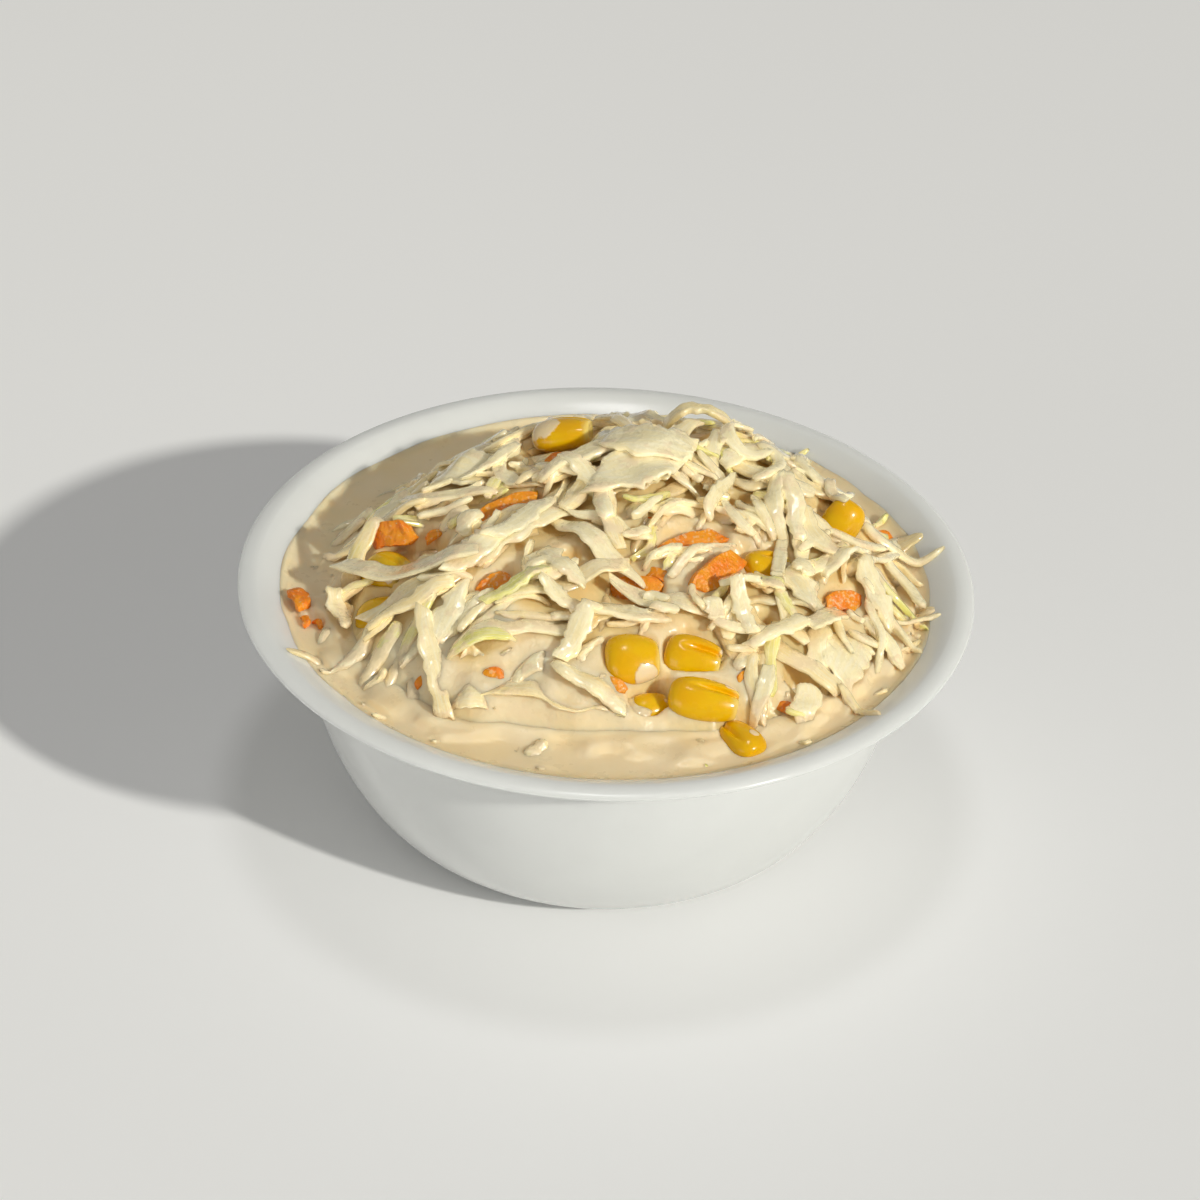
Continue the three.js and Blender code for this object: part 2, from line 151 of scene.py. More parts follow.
# The shreds that stand out: x, y, heading in degrees, length, width, turn in degrees, lift, arch,
# tone from white (0) over cream (0.5) to green (1), how far each end narrows.
MAIN_SHREDS = (
    (-35, -22.4, 16, 30, 4.6, 10, 0.15, 0, 0.42, 0.9, 0.2),  # long strip to the dressing, left
    (-13, -27.6, 3, 22, 4.2, -12, 0.65, 0.8, 0.12, 1.0, 0.1),  # pointed strip, front left
    (-21, -35.5, 5, 12, 9.5, 0, 0.05, 0, 0.2, 0.1, 0.2),  # broad leaf, front left
    (-20, -30.5, 2, 12, 3, 10, 0.25, 0, 1.0, 0.3, 0.3),  # pale green strip
    (38.5, -21.5, 72, 13, 6.4, 0, 0.25, 0, 0.05, 0.05, 0.15),  # upright broad strip, right
    (14.5, 21.5, 2, 12.5, 2.6, 0, 0.25, 4.6, 0.6, 0.2, 0.6),  # peaked strip at the top of the back
    (-2.5, -11.5, -42, 22, 4.2, 14, 0.55, 0.6, 0.05, 0.9, 0.9),  # long pale strip, middle
    (4, 6, 20, 15, 11, 0, 0.25, 0.8, 0.3, 0.4, 0.3),  # broad pale leaf, top
    (-26, 3.5, 18, 19, 3.6, -10, 0.25, 0, 0.8, 0.4, 0.4),  # pale green strip, left
    (-25, 13, -20, 13, 9, 0, 0.15, 1, 0.25, 0.3, 0.3),  # round leaf, back left
    (27, 10, 70, 17, 3.2, 200, 0.55, 1, 0.1, 0.3, 0.5),  # curl, back right
    (33, 22, 20, 16, 3.2, 210, 0.55, 1, 0.2, 0.3, 0.5),  # curl, back right
    (30, 2, 10, 20, 3.4, -120, 0.45, 0.8, 0.15, 0.3, 0.7),  # hooked strip, right
    (-40.5, -4, 66, 17, 3.0, -60, 0.25, 0.6, 0.65, 0.4, 0.4),  # curved strip, left
    (-27, -15, 28, 22, 5, 16, 0.45, 0.4, 0.35, 0.2, 0.4),  # strip over the low corn, left
    (-14, -8, 40, 20, 5.4, -14, 0.45, 0.5, 0.15, 0.5, 0.3),  # broad diagonal strip
    (-6, -20, 24, 22, 4.2, 30, 0.45, 0.5, 0.25, 0.4, 0.5),  # strip, middle front
    (12, -22, -6, 24, 4.4, 22, 0.45, 0.4, 0.15, 0.5, 0.8),  # strip above the front corn
    (27, -17, 8, 20, 3.8, -40, 0.45, 0.5, 0.3, 0.4, 0.4),  # strip, right
    (28, -26, -28, 20, 4.4, 40, 0.35, 0.4, 0.4, 0.3, 0.5),  # strip down to the right
    (-5, -38, -4, 26, 5.2, 8, -0.05, 0, 0.4, 0.3, 0.3),  # half-sunk strip, front
    (8.5, -43.6, -25, 11, 7, 0, -0.15, 0.4, 0.5, 0.3, 0.3),  # half-sunk leaf, front
    (45.5, 14, 22, 15, 5, -20, 0.15, 0, 0.55, 0.3, 0.9),  # tip over the dressing, right
    (47, -4, -10, 13, 5, 10, 0.15, 0, 0.45, 0.3, 0.9),  # tip over the dressing, right
    (-6, 11.5, -24, 18, 3.6, 20, 0.45, 0.5, 0.2, 0.6, 0.4),  # strip, back
    (8, 13, 52, 18, 3.8, -30, 0.45, 0.6, 0.25, 0.3, 0.5),  # strip, back
)

# Shreds on top of the heap, clear of the corn and carrot, in the same columns.
UPPER_SHREDS = (
    (-24, -6, 33, 12, 5.4, 10, 0.1, 0.3, 0.2, 0.3, 0.4),
    (-21, -13.5, 44, 11, 4.6, -10, 0.1, 0.3, 0.15, 0.4, 0.3),
    (-13.5, -7, 51, 14, 3.8, 12, 0.1, 0.3, 0.1, 0.3, 0.6),
    (-43, -13.5, -71, 12, 2.6, 20, 0, 0, 0.3, 0.3, 0.3),
    (-34, -17.5, 10, 16, 2.8, 12, 0.1, 0, 0.3, 0.4, 0.4),
    (-30.5, -21, 14, 14, 2.8, 10, 0.1, 0, 0.45, 0.4, 0.5),
    (-14, -22, 24, 11, 2.8, 14, 0.1, 0.3, 0.9, 0.5, 0.5),
    (-7.5, -17.5, -49, 11, 3.2, 50, 0.1, 0.3, 0.2, 0.3, 0.3),
    (-12, 9.5, -41, 18, 3.2, 16, 0.1, 0.4, 0.15, 0.3, 0.3),
    (-4, 9, 30, 19, 3.6, -14, 0.1, 0.4, 0.2, 0.5, 0.3),
    (4.5, 13, -18, 15, 6.5, 10, 0.1, 0.6, 0.2, 0.4, 0.3),
    (17, 1.5, 67, 13, 2.8, -30, 0.1, 0.3, 0.15, 0.5, 0.5),
    (26.5, 1.5, -85, 13, 2.8, 20, 0.1, 0.3, 0.15, 0.4, 0.5),
    (30, 1.5, -82, 12, 3, -16, 0.1, 0.3, 0.2, 0.4, 0.5),
    (24, -0.5, -68, 12, 2.6, 24, 0.1, 0.3, 0.3, 0.3, 0.6),
    (7, -8, 34, 11, 3, 16, 0.1, 0.3, 0.15, 0.5, 0.8),
    (23.5, -16.5, 2, 9, 3.4, 10, 0.1, 0.2, 0.85, 0.4, 0.5),
    (43, -9, -63, 11, 3.8, 16, 0, 0, 0.2, 0.3, 0.7),
    (38, -5, 53, 13, 2.8, -20, 0.1, 0.2, 0.2, 0.5, 0.7),
    (29, -10.5, -25, 8, 4.6, 10, 0.1, 0.2, 0.2, 0.3, 0.3),
    (19, -19, 9, 11, 2.8, 6, 0.1, 0.2, 0.1, 0.2, 0.95),
    (27.5, -25, 35, 13, 3.2, 20, 0.1, 0.2, 0.2, 0.5, 0.3),
    (36, -18.5, 50, 13, 4.6, -16, 0.1, 0.2, 0.25, 0.3, 0.6),
    (18, -26, -67, 10, 4.4, 10, 0, 0.2, 0.15, 0.3, 0.3),
    (21.5, -23.5, -68, 8, 2.6, -10, 0.1, 0.2, 0.2, 0.3, 0.3),
    (-1.5, -37, -25, 14, 5, 12, 0, 0.2, 0.25, 0.3, 0.3),
    (-14, -32.5, -16, 12, 4, 10, 0, 0.2, 0.25, 0.6, 0.3),
    (-26.5, -31.5, -74, 18, 3, 12, 0, 0, 0.3, 0.3, 0.3),
    (-8, -41.5, -6, 19, 4.4, 8, -0.1, 0, 0.35, 0.5, 0.4),
    (-7, -24, -23, 8, 3, 20, 0.1, 0.2, 0.15, 0.3, 0.3),
    (2, -16.5, -46, 10, 3.4, 16, 0.1, 0.2, 0.15, 0.6, 0.3),
    (-5, 4, -51, 11, 3, 20, 0.1, 0.3, 0.2, 0.6, 0.3),
    (3, -25.5, 8, 13, 3.6, 10, 0.1, 0.2, 0.2, 0.4, 0.3),
    (13, -24.6, -8, 12, 3.4, -10, 0.1, 0.2, 0.1, 0.3, 0.5),
    (-4, -29.5, 62, 10, 3.6, 8, 0.1, 0.2, 0.2, 0.4, 0.4),
    (26, 8, 60, 20, 2.6, 230, 0.1, 0.6, 0.1, 0.3, 0.5),
    (34, 13, 150, 18, 2.4, -240, 0.1, 0.6, 0.15, 0.3, 0.5),
    (19, 15, -60, 18, 2.4, 250, 0.1, 0.6, 0.1, 0.3, 0.5),
    (4, 4, 15, 15, 9, 0, 0.1, 0.5, 0.15, 0.4, 0.3),
    (6, 10, -8, 15, 8, 10, 0.1, 0.5, 0.2, 0.3, 0.4),
)

# Shreds that lie over the corn, in the same columns.
BRIDGING_SHREDS = (
    (-33, -12.2, -22, 26, 4.6, 55, 0.1, 0.3, 0.12, 0.0, 0.5),
    (27.4, -9.6, 84, 11, 2.3, 6, 0.1, 0.2, 0.1, 0.2, 0.3),
    (25.0, -34.6, 74, 8, 2.6, 30, 0.1, 0.2, 0.1, 0.5, 0.3),
    (36.4, 9.6, -70, 8, 2.0, 70, 0.1, 0.2, 0.15, 0.3, 0.5),
)

# Sweetcorn: x, y, lift, heading of the crown, length, width, thickness, roll, pitch,
# depth of the crease, and the smear of cream: its place along and across, and its size.
CORN = {
    "corn_top": (-8.4, 20.4, 2.2, 172, 11.4, 8, 5.4, -14, 0, 0.2, 0.5, 0.1, 0.8),
    "corn_left": (-35.4, -7.1, 0.6, 140, 10, 8, 5.4, 0, 0, 0.3, -0.6, 0.5, 0.3),
    "corn_left_low": (-35.6, -15.7, -0.4, 165, 10, 7.6, 5, 0, 0, 0.0, -0.5, 0.4, 0.3),
    "corn_right": (37.6, 5.4, 1.6, 80, 10.6, 7.2, 5, 0, 62, 0.2, -0.75, -0.3, 0.5),
    "corn_middle": (25.6, -9.2, 0.2, 205, 9, 6.8, 4.8, -10, 0, 0.5, -0.7, 0.2, 0.3),
    "corn_front_a": (4.4, -31.4, 1.2, 190, 9.6, 9, 5.8, -14, 0, 0.0, -0.4, 0.75, 0.55),
    "corn_front_b": (13.8, -29.6, 1.1, 172, 10.2, 7.8, 5.4, -26, 0, 0.9, -0.95, -0.4, 0.25),
    "corn_front_c": (15.6, -37.0, 1.9, 176, 12.4, 7.4, 5.6, -12, 0, 0.8, -0.7, -0.75, 0.32),
    "corn_front_d": (7.4, -36.4, -1.5, 200, 6.6, 5.2, 3.6, 0, 0, 0.0, -0.8, 0.0, 0.2),
    "corn_sunk": (21.9, -41, 0.3, -52, 8.8, 6.2, 4.4, 0, 0, 0.5, 0.3, 0.4, 0.3),
}
CORN_CUT = 0.82
CORN_CAP = -0.86  # where the cut end lies along a kernel of half-length 1
CREASE_PLACE = 0.5  # how far round a kernel its crease lies from its top, in radians
CREASE_WIDTH = 0.16

# Carrot: x, y, lift, heading, length, width, thickness, roll, pitch, share of cream.
CARROT = {
    "carrot_block": (-35, -0.6, 2.2, -16, 7.6, 4.0, 2.2, 48, 0, 0.12),
    "carrot_left": (-16.6, 0.6, 0.7, 17, 10.6, 3.2, 1.8, 30, 0, 0.3),
    "carrot_left_low": (-17.4, -18, 0.6, 24, 6, 2.8, 1.4, 20, 0, 0.6),
    "carrot_stick": (17.4, -14.6, 1.1, 50, 10.2, 3.8, 2.4, 26, 0, 0.1),
    "carrot_pale": (13.4, -7.6, 0.5, 27, 11.6, 3, 1.5, 20, 0, 0.45),
    "carrot_middle": (4.8, -17.8, 0.8, -4, 8, 4.2, 1.8, 24, 0, 0.25),
    "carrot_right": (38, -11.6, 0.6, 28, 7, 3.4, 1.4, 16, 0, 0.6),
    "carrot_wall": (-49.6, -9.6, 1.6, -66, 5.4, 2.6, 1.2, 0, 0, 0.3),
}

# Gaps that stay open between the shreds: x, y, radius, depth.
GAPS = (
    (24.7, -21.8, 1.9, 5.0),
    (12.8, -26.2, 0.9, 3.0),
    (8.6, -34.6, 2.4, 2.6),
    (30.5, -29.0, 2.6, 2.0),
    (-24.5, -8.0, 1.8, 2.5),
    (21.0, 4.0, 2.0, 3.0),
    (-6.0, -13.5, 1.6, 2.5),
    (-8.4, 14.6, 6.5, 0.0),
    (-12.0, 19.0, 4.0, 0.0),
    (-34.5, -5.0, 4.5, 0.0),
    (-29.5, -4.0, 4.0, 0.6),
)

# Scraps that lie between the shreds: x, y, lift, heading, length, width, thickness.
CARROT_SCRAPS = (
    (-9, 12, 0.6, 40, 4.2, 2.2, 1.2),
    (-28, -1.6, 0.5, 30, 3.4, 1.4, 0.9),
    (-1.7, -22, 0.9, 35, 5.0, 1.6, 1.1),
    (8, -15, 1.0, -30, 4.4, 1.8, 1.0),
    (6.3, -5, 0.8, 25, 4.0, 1.6, 1.0),
    (10, 15, 1.6, 60, 1.8, 1.2, 0.8),
    (27, 18, 1.2, -20, 2.4, 1.2, 0.8),
    (33, 13, 1.2, -40, 2.2, 1.0, 0.8),
    (46, 17, 0.8, 20, 3.4, 1.6, 0.8),
    (22, -32.6, 1.4, 60, 3.2, 2.2, 1.2),
    (29, -34.7, 0.9, -20, 4.6, 2.0, 0.9),
    (1.5, -35.8, 0.6, -10, 4.4, 2.0, 1.0),
    (-16.8, -34.3, 0.8, 10, 3.4, 2.6, 1.2),
    (-27.6, -33.2, 0.6, 20, 3.0, 1.4, 1.0),
    (-48.2, -14, 0.3, -70, 2.6, 1.2, 0.8),
    (-46, -14.6, 0.2, -60, 2.4, 1.0, 0.7),
    (-6.5, -30.2, 0.2, -25, 2.6, 1.0, 0.7),
)
CORN_SCRAPS = (
    (-10.6, 4.6, 0.6, 20, 4.6, 2.0, 1.2),
    (-4.2, -27.2, 0.9, -30, 3.0, 2.2, 1.4),
    (18, -24.5, 0.4, 70, 2.6, 1.2, 1.0),
    (30, -19.8, 0.6, 80, 2.0, 1.2, 0.9),
)


# ---- Settings ----


def colour(name, description, default):
    return FloatVectorProperty(
        name=name, description=description, default=default, subtype="COLOR", size=3, min=0.0, max=1.0
    )


def length(name, description, default):
    return FloatProperty(name=name, description=description, default=default, unit="LENGTH", min=0.0)


def number_of(name, description, default):
    return IntProperty(name=name, description=description, default=default, min=0)


def power(name, description, default):
    return FloatProperty(name=name, description=description, default=default, min=0.0)


class HeapSettings(bpy.types.PropertyGroup):
    """Sizes of the heap and its shreds."""

    foot_radius: length("Foot radius", "Radius of the heap at the dressing's level", 0.0445)
    peak: length("Peak", "Height of the mound above the dressing", 0.015)
    bed_count: number_of("Bed shreds", "Shreds tried for the bed", 1500)
    top_count: number_of("Top shreds", "Loose shreds tried on top", 6000)
    sunk_count: number_of("Sunk shreds", "Shreds tried for the heap's foot, half in the dressing", 70)
    film: length("Cream film", "How deep the cream lies below the shreds' tops", 0.0007)
    seed: number_of("Seed", "Another number gives another heap", 7)


class ColourSettings(bpy.types.PropertyGroup):
    """Colours of the food and the bowl."""

    glass: colour("Opal glass", "White glass of the bowl", (0.72, 0.73, 0.71))
    cream: colour("Dressing", "Cream dressing", (0.90, 0.73, 0.46))
    # Painted shade: a darker, warmer dressing colour laid into the gaps low in the heap, where shade falls
    gap_shade_cream: colour("Painted gap shade", "Dressing colour for painted shade in the heap's gaps", (0.86, 0.63, 0.28))
    white: colour("White cabbage", "Palest shreds", (0.94, 0.83, 0.50))
    creamy: colour("Creamy cabbage", "Shreds under a film of dressing", (0.92, 0.74, 0.36))
    green: colour("Green cabbage", "Shreds from the outer leaves", (0.84, 0.80, 0.22))
    corn: colour("Sweetcorn", "Skin of the kernels", (0.83, 0.485, 0.0))
    corn_end: colour("Kernel's cut end", "Pale end that sat on the cob", (0.84, 0.62, 0.16))
    carrot: colour("Carrot", "Shreds of carrot", (0.86, 0.215, 0.006))


class StudioSettings(bpy.types.PropertyGroup):
    """Light and floor."""

    key: power("Key light", "Strength of the main light", 2.35)
    fill: power("Fill light", "Strength of the light all round", 0.26)
    overhead: power("Overhead light", "Strength of the soft light above", 0.66)
    side: power("Side light", "Strength of the low soft light", 1.2)
    floor: colour("Floor", "Pale floor", (0.94, 0.94, 0.94))


# ---- Shapes in plan ----


def foot_radius(angle):
    """The heap's foot is a slightly uneven circle."""
    waves = 0.03 * np.cos(2 * angle - 0.9) + 0.022 * np.cos(3 * angle + 0.9) + 0.015 * np.cos(5 * angle - 1)
    return bpy.context.scene.coleslaw_heap.foot_radius / MM * (1 + waves)


def foot_share(x, y):
    """0 in the heap's middle and 1 at its foot."""
    return np.hypot(x - FOOT_X, y - FOOT_Y) / foot_radius(np.arctan2(y - FOOT_Y, x - FOOT_X))


def mound_height(x, y):
    """Top of the mound, or the dressing's level beyond its foot."""
    x, y = np.asarray(x, float), np.asarray(y, float)
    share = np.minimum(foot_share(x, y), 1)
    dome = (1 - share**2.4) ** 0.85
    rise = bpy.context.scene.coleslaw_heap.peak / MM * (1 + BACK_RISE * y)
    for swell_x, swell_y, height, spread in SWELLS:
        rise = rise + height * np.exp(-((x - swell_x) ** 2 + (y - swell_y) ** 2) / spread**2)
    rise = rise + 0.9 * np.sin(0.16 * x + 1.2) * np.cos(0.14 * y - 0.4) + 0.5 * np.sin(0.31 * x - 0.22 * y)
    return LEVEL + dome * rise


class HeightMap:
    """Heights over the inside of the bowl on a square net, in millimetres."""

    STEP = 0.5
    HALF = 60.0

    def __init__(self, heights):
        axis = np.arange(-self.HALF, self.HALF + self.STEP, self.STEP)
        self.x, self.y = np.meshgrid(axis, axis, indexing="ij")
        self.heights = heights(self.x, self.y)

    def cells(self, x, y):
        last = self.heights.shape[0] - 1
        column = np.clip(np.rint((x + self.HALF) / self.STEP).astype(int), 0, last)
        row = np.clip(np.rint((y + self.HALF) / self.STEP).astype(int), 0, last)
        return column, row

    def at(self, x, y):
        return self.heights[self.cells(x, y)]

    def between(self, x, y):
        """The height at any place, worked out from the four cells round it."""
        last = self.heights.shape[0] - 2
        u = np.clip((np.asarray(x) + self.HALF) / self.STEP, 0, last + 0.999)
        v = np.clip((np.asarray(y) + self.HALF) / self.STEP, 0, last + 0.999)
        column, row = u.astype(int), v.astype(int)
        a, b = u - column, v - row
        h = self.heights
        near = h[column, row] * (1 - b) + h[column, row + 1] * b
        far = h[column + 1, row] * (1 - b) + h[column + 1, row + 1] * b
        return near * (1 - a) + far * a

    def raise_to(self, x, y, z):
        np.maximum.at(self.heights, self.cells(x, y), z)

    def filled(self, reach):
        """A copy whose gaps are filled in where they are narrower than twice the reach."""
        cells = range(-round(reach / self.STEP), round(reach / self.STEP) + 1)
        shifts = [(i, j) for i in cells for j in cells if math.hypot(i, j) <= cells[-1] + 0.5]
        copy = self.softened(0)
        for pick in (np.maximum, np.minimum):
            copy.heights = pick.reduce([np.roll(copy.heights, shift, (0, 1)) for shift in shifts])
        return copy

    def softened(self, spread):
        """A copy, blurred by a bell of that spread."""
        reach = int(3 * spread / self.STEP)
        bell = np.exp(-0.5 * (np.arange(-reach, reach + 1) * self.STEP / max(spread, 0.01)) ** 2)
        bell /= bell.sum()
        soft = HeightMap.__new__(HeightMap)
        soft.x, soft.y = self.x, self.y
        soft.heights = np.pad(self.heights, reach, mode="edge")

        def blurred(line):
            return np.convolve(line, bell, "valid")

        for axis in (0, 1):
            soft.heights = np.apply_along_axis(blurred, axis, soft.heights)
        return soft


def halved(values):
    """The same net with a line added midway between each two, both ways."""
    for axis in (0, 1):
        values = np.moveaxis(values, axis, 0)
        wider = np.empty((2 * len(values) - 1, *values.shape[1:]))
        wider[::2] = values
        wider[1::2] = (values[1:] + values[:-1]) / 2
        values = np.moveaxis(wider, 0, axis)
    return values


# ---- Shreds ----


class Shred:
    """A strip of cabbage: its middle, heading, size and bends, in millimetres and degrees."""

    def __init__(self, row, **bends):
        self.x, self.y, self.heading, self.length, self.width, self.turn, self.lift, self.arch = row[:8]
        self.tone, self.narrow_start, self.narrow_end = row[8:]
        self.thickness = 1.0
        self.wiggle = 0.0
        self.waves = 1.0
        self.phase = 0.0
        self.roll = (0.0, 0.0)
        self.gutter = 0.25
        self.tips = (0.0, 0.0)
        self.slant = 0.0
        self.rough = np.zeros((2, 2))
        self.dents = None
        self.steps = 16
        vars(self).update(bends)


def random_bends(draw, width):
    """Bends, twists and tips that make one shred unlike the next."""
    slim = width < SLIM_WIDTH
    return {
        "thickness": draw.uniform(0.75, 1.15) if slim else draw.uniform(0.6, 0.9),
        "wiggle": draw.uniform(5, 26),
        "waves": draw.uniform(0.7, 1.8),
        "phase": draw.uniform(0, 6.28),
        "roll": tuple(draw.normal(0, 26 if slim else 13, 2)),
        "gutter": draw.normal(-0.02, 0.07) * width,
        "tips": tuple(np.maximum(0, draw.normal(0, 0.7, 2))),
        "slant": draw.normal(0, 0.5),
        "rough": draw.normal(0, 0.17, (2, 17)),
        "dents": draw.normal(0, 0.1, (8, 8)),
    }


STRIP_LANES = np.array([-1, -0.8, -0.3, 0.3, 0.8, 1])
LEAF_LANES = np.array([-1, -0.88, -0.6, -0.2, 0.2, 0.6, 0.88, 1])
MAIN_STEPS = 24
LEAST_KEPT = 0.4  # a trimmed shred that keeps less of its length is left out
STIFFNESS = 10.0  # millimetres: the tightest curve that a strip's own weight bends it to


def draped(rest, spacing):
    """Heights at which a strip that can't dip sharply rests on the heights below it."""
    slack = spacing**2 / (2 * STIFFNESS)
    for _ in range(24):
        middle = np.empty_like(rest)
        middle[1:-1] = (rest[2:] + rest[:-2]) / 2 - slack
        middle[0], middle[-1] = rest[0], rest[-1]
        rest = np.maximum(rest, middle)
    smooth = rest.copy()
    smooth[1:-1] = (rest[2:] + 2 * rest[1:-1] + rest[:-2]) / 4
    return smooth


def laid(shred, surface, on_mound):
    """The strip's net of points, lying on a height map."""
    steps = shred.steps
    t = LEAF_LANES if shred.width > LEAF_WIDTH else STRIP_LANES
    s = np.linspace(-1, 1, steps + 1)
    wiggle = shred.wiggle * np.sin(math.pi * shred.waves * s + shred.phase)
    angle = np.radians(shred.heading + shred.turn * s / 2 + wiggle)
    spacing = shred.length / steps
    run = np.vstack([[0, 0], np.cumsum((np.c_[np.cos(angle), np.sin(angle)][:-1] * spacing), axis=0)])
    run += (shred.x, shred.y) - run[steps // 2]
    narrow = 1 - shred.narrow_end * np.clip(s, 0, 1) ** 2.2 - shred.narrow_start * np.clip(-s, 0, 1) ** 2.2
    half = shred.width / 2 * np.maximum(0.12, 0.94 * narrow + 0.06)
    side = half[:, None] * t
    places = np.linspace(0, 1, shred.rough.shape[1])
    edges = [np.interp(np.linspace(0, 1, steps + 1), places, row) for row in shred.rough]
    side = side * (1 + np.where(t > 0, edges[0][:, None], edges[1][:, None]) * abs(t))
    roll = np.radians(np.linspace(shred.roll[0], shred.roll[1], steps + 1))
    flat = side * np.cos(roll)[:, None]
    along = shred.slant * side * (abs(s) ** 4)[:, None]
    x = run[:, :1] - flat * np.sin(angle)[:, None] + along * np.cos(angle)[:, None]
    y = run[:, 1:] + flat * np.cos(angle)[:, None] + along * np.sin(angle)[:, None]
    ground = surface.at(x, y)
    stand = 0.35 * half * abs(np.sin(roll))
    rest = draped(ground.max(axis=1) * 0.6 + ground.mean(axis=1) * 0.4, spacing) + stand
    z = np.repeat(rest[:, None], len(t), axis=1)
    if shred.width > LEAF_WIDTH:
        z = 0.5 * z + 0.5 * np.array([draped(lane, spacing) for lane in ground.T]).T
    z = z + side * np.sin(roll)[:, None] + shred.gutter * (t**2 - 0.5)
    z = z + shred.tips[0] * np.clip(-s, 0, 1)[:, None] ** 3 + shred.tips[1] * np.clip(s, 0, 1)[:, None] ** 3
    if shred.dents is not None:
        places = np.linspace(-1, 1, len(shred.dents))
        z = z + np.array([np.interp(s, places, lane) for lane in shred.dents.T[: len(t)]]).T
    mound = mound_height(x, y)
    on_heap = np.clip((mound - LEVEL) / 2, 0, 1)
    if on_mound:
        z = np.maximum(z, mound - 0.4)
        bow = (shred.arch + TUCK) * (1 - abs(s) ** 2.4) - TUCK
        z = z + (shred.lift + bow)[:, None] * on_heap
    up_the_lip = LIP_SLOPE * np.maximum(0, np.hypot(x, y) - LEVEL_RADIUS + 2)
    return x, y, np.maximum(z, np.where(up_the_lip > 0, LEVEL - 0.6 + up_the_lip, z)) + 0.2 * shred.thickness


def kept_run(net, ceiling, above):
    """The longest stretch of a strip that stays that far below the ceiling, or None.

    A stretch that isn't the whole strip has its ends narrowed.
    """
    x, y, z = net
    clear = (z + above <= ceiling.at(x, y)).all(axis=1)
    best = start = 0
    first = 0
    for i, good in enumerate([*clear, False]):
        if not good:
            if i - start > best:
                best, first = i - start, start
            start = i + 1
    if best < LEAST_KEPT * len(clear):
        return None
    wanted = np.linspace(first, first + best - 1, len(clear))
    places = np.arange(len(clear))
    run = (np.array([np.interp(wanted, places, lane) for lane in values.T]).T for values in net)
    if best == len(clear):
        return tuple(run)
    narrow = (0.4 + 0.6 * best / len(clear)) * (1 - 0.5 * abs(np.linspace(-1, 1, len(clear))) ** 6)[:, None]
    return tuple(values * narrow + values.mean(axis=1, keepdims=True) * (1 - narrow) for values in run)


STATE_FACTOR = 16807
STATE_LIMIT = 2147483647


def repeatable(seed):
    """Numbers from 0 to 1, the same ones each time."""
    state = seed
    while True:
        state = state * STATE_FACTOR % STATE_LIMIT
        yield state / STATE_LIMIT


def filler_shreds():
    """Shreds spread evenly over the heap, as the frame has them."""
    draw = repeatable(FILLER_SEED)
    golden = math.pi * (3 - math.sqrt(5))
    shreds = []
    for i in range(FILLER_COUNT):
        reach = FILLER_REACH * math.sqrt((i + 0.5) / FILLER_COUNT) * foot_radius(i * golden)
        x = FOOT_X + reach * math.cos(i * golden)
        y = FOOT_Y + reach * math.sin(i * golden)
        order = (i * 7) % FILLER_COUNT
        long = FILLER_LENGTHS[0] + (FILLER_LENGTHS[1] - FILLER_LENGTHS[0]) * order / FILLER_COUNT
        width = FILLER_WIDTHS[0] + (FILLER_WIDTHS[1] - FILLER_WIDTHS[0]) * next(draw)
        spread = FILLER_SPREADS[0] if x < 0 else FILLER_SPREADS[1]
        heading = FILLER_HEADING + spread * (next(draw) - 0.5) * 2
        turn = FILLER_TURN * (next(draw) - 0.5)
        lift, arch = FILLER_LIFT * next(draw), FILLER_ARCH * next(draw)
        shreds.append((x, y, heading, long, width, turn, lift, arch))
    return sorted(shreds, key=lambda row: -row[3])


def lowest_place(draw, reach, surface, tries):
    """Of some random places on the heap, the one that lies lowest under the mound."""
    angle = draw.uniform(0, 2 * math.pi, tries)
    radius = reach * np.sqrt(draw.uniform(0, 1, tries)) * foot_radius(angle)
    x, y = FOOT_X + radius * np.cos(angle), FOOT_Y + radius * np.sin(angle)
    lowest = int(np.argmin(surface.at(x, y) - mound_height(x, y)))
    return float(x[lowest]), float(y[lowest])


def loose_shred(draw, reach, surface, tries=1):
    """A random shred on the heap.

    Those on the left mostly run the same way, and many slim ones at the back right curl.
    """
    x, y = lowest_place(draw, reach, surface, tries)
    kind = draw.uniform()
    lengths, widths = next(sizes for share, *sizes in LOOSE_KINDS if kind < share)
    long, width = draw.uniform(*lengths), draw.uniform(*widths)
    heading = draw.normal(*LOOSE_HEADING) if x < 0 else draw.uniform(-180, 180)
    if x > 14 and y > -4 and width < SLIM_WIDTH and draw.uniform() < CURL_SHARE:
        turn = draw.choice([-1, 1]) * draw.uniform(*CURL_TURNS)
    else:
        turn = draw.normal(0, 24 if x < 10 else 50)
    tone = draw.choice(LOOSE_TONES, p=LOOSE_TONE_SHARES) + draw.normal(0, 0.05)
    narrow = draw.uniform(0, 1, 2)
    row = (x, y, heading, long, width, turn, 0, 0, tone, *narrow)
    shred = Shred(row, **random_bends(draw, width))
    if y > 6 and width < 4:
        shred.tips = tuple(3.0 * tip for tip in shred.tips)
    return shred


# ---- Kernels and carrot ----


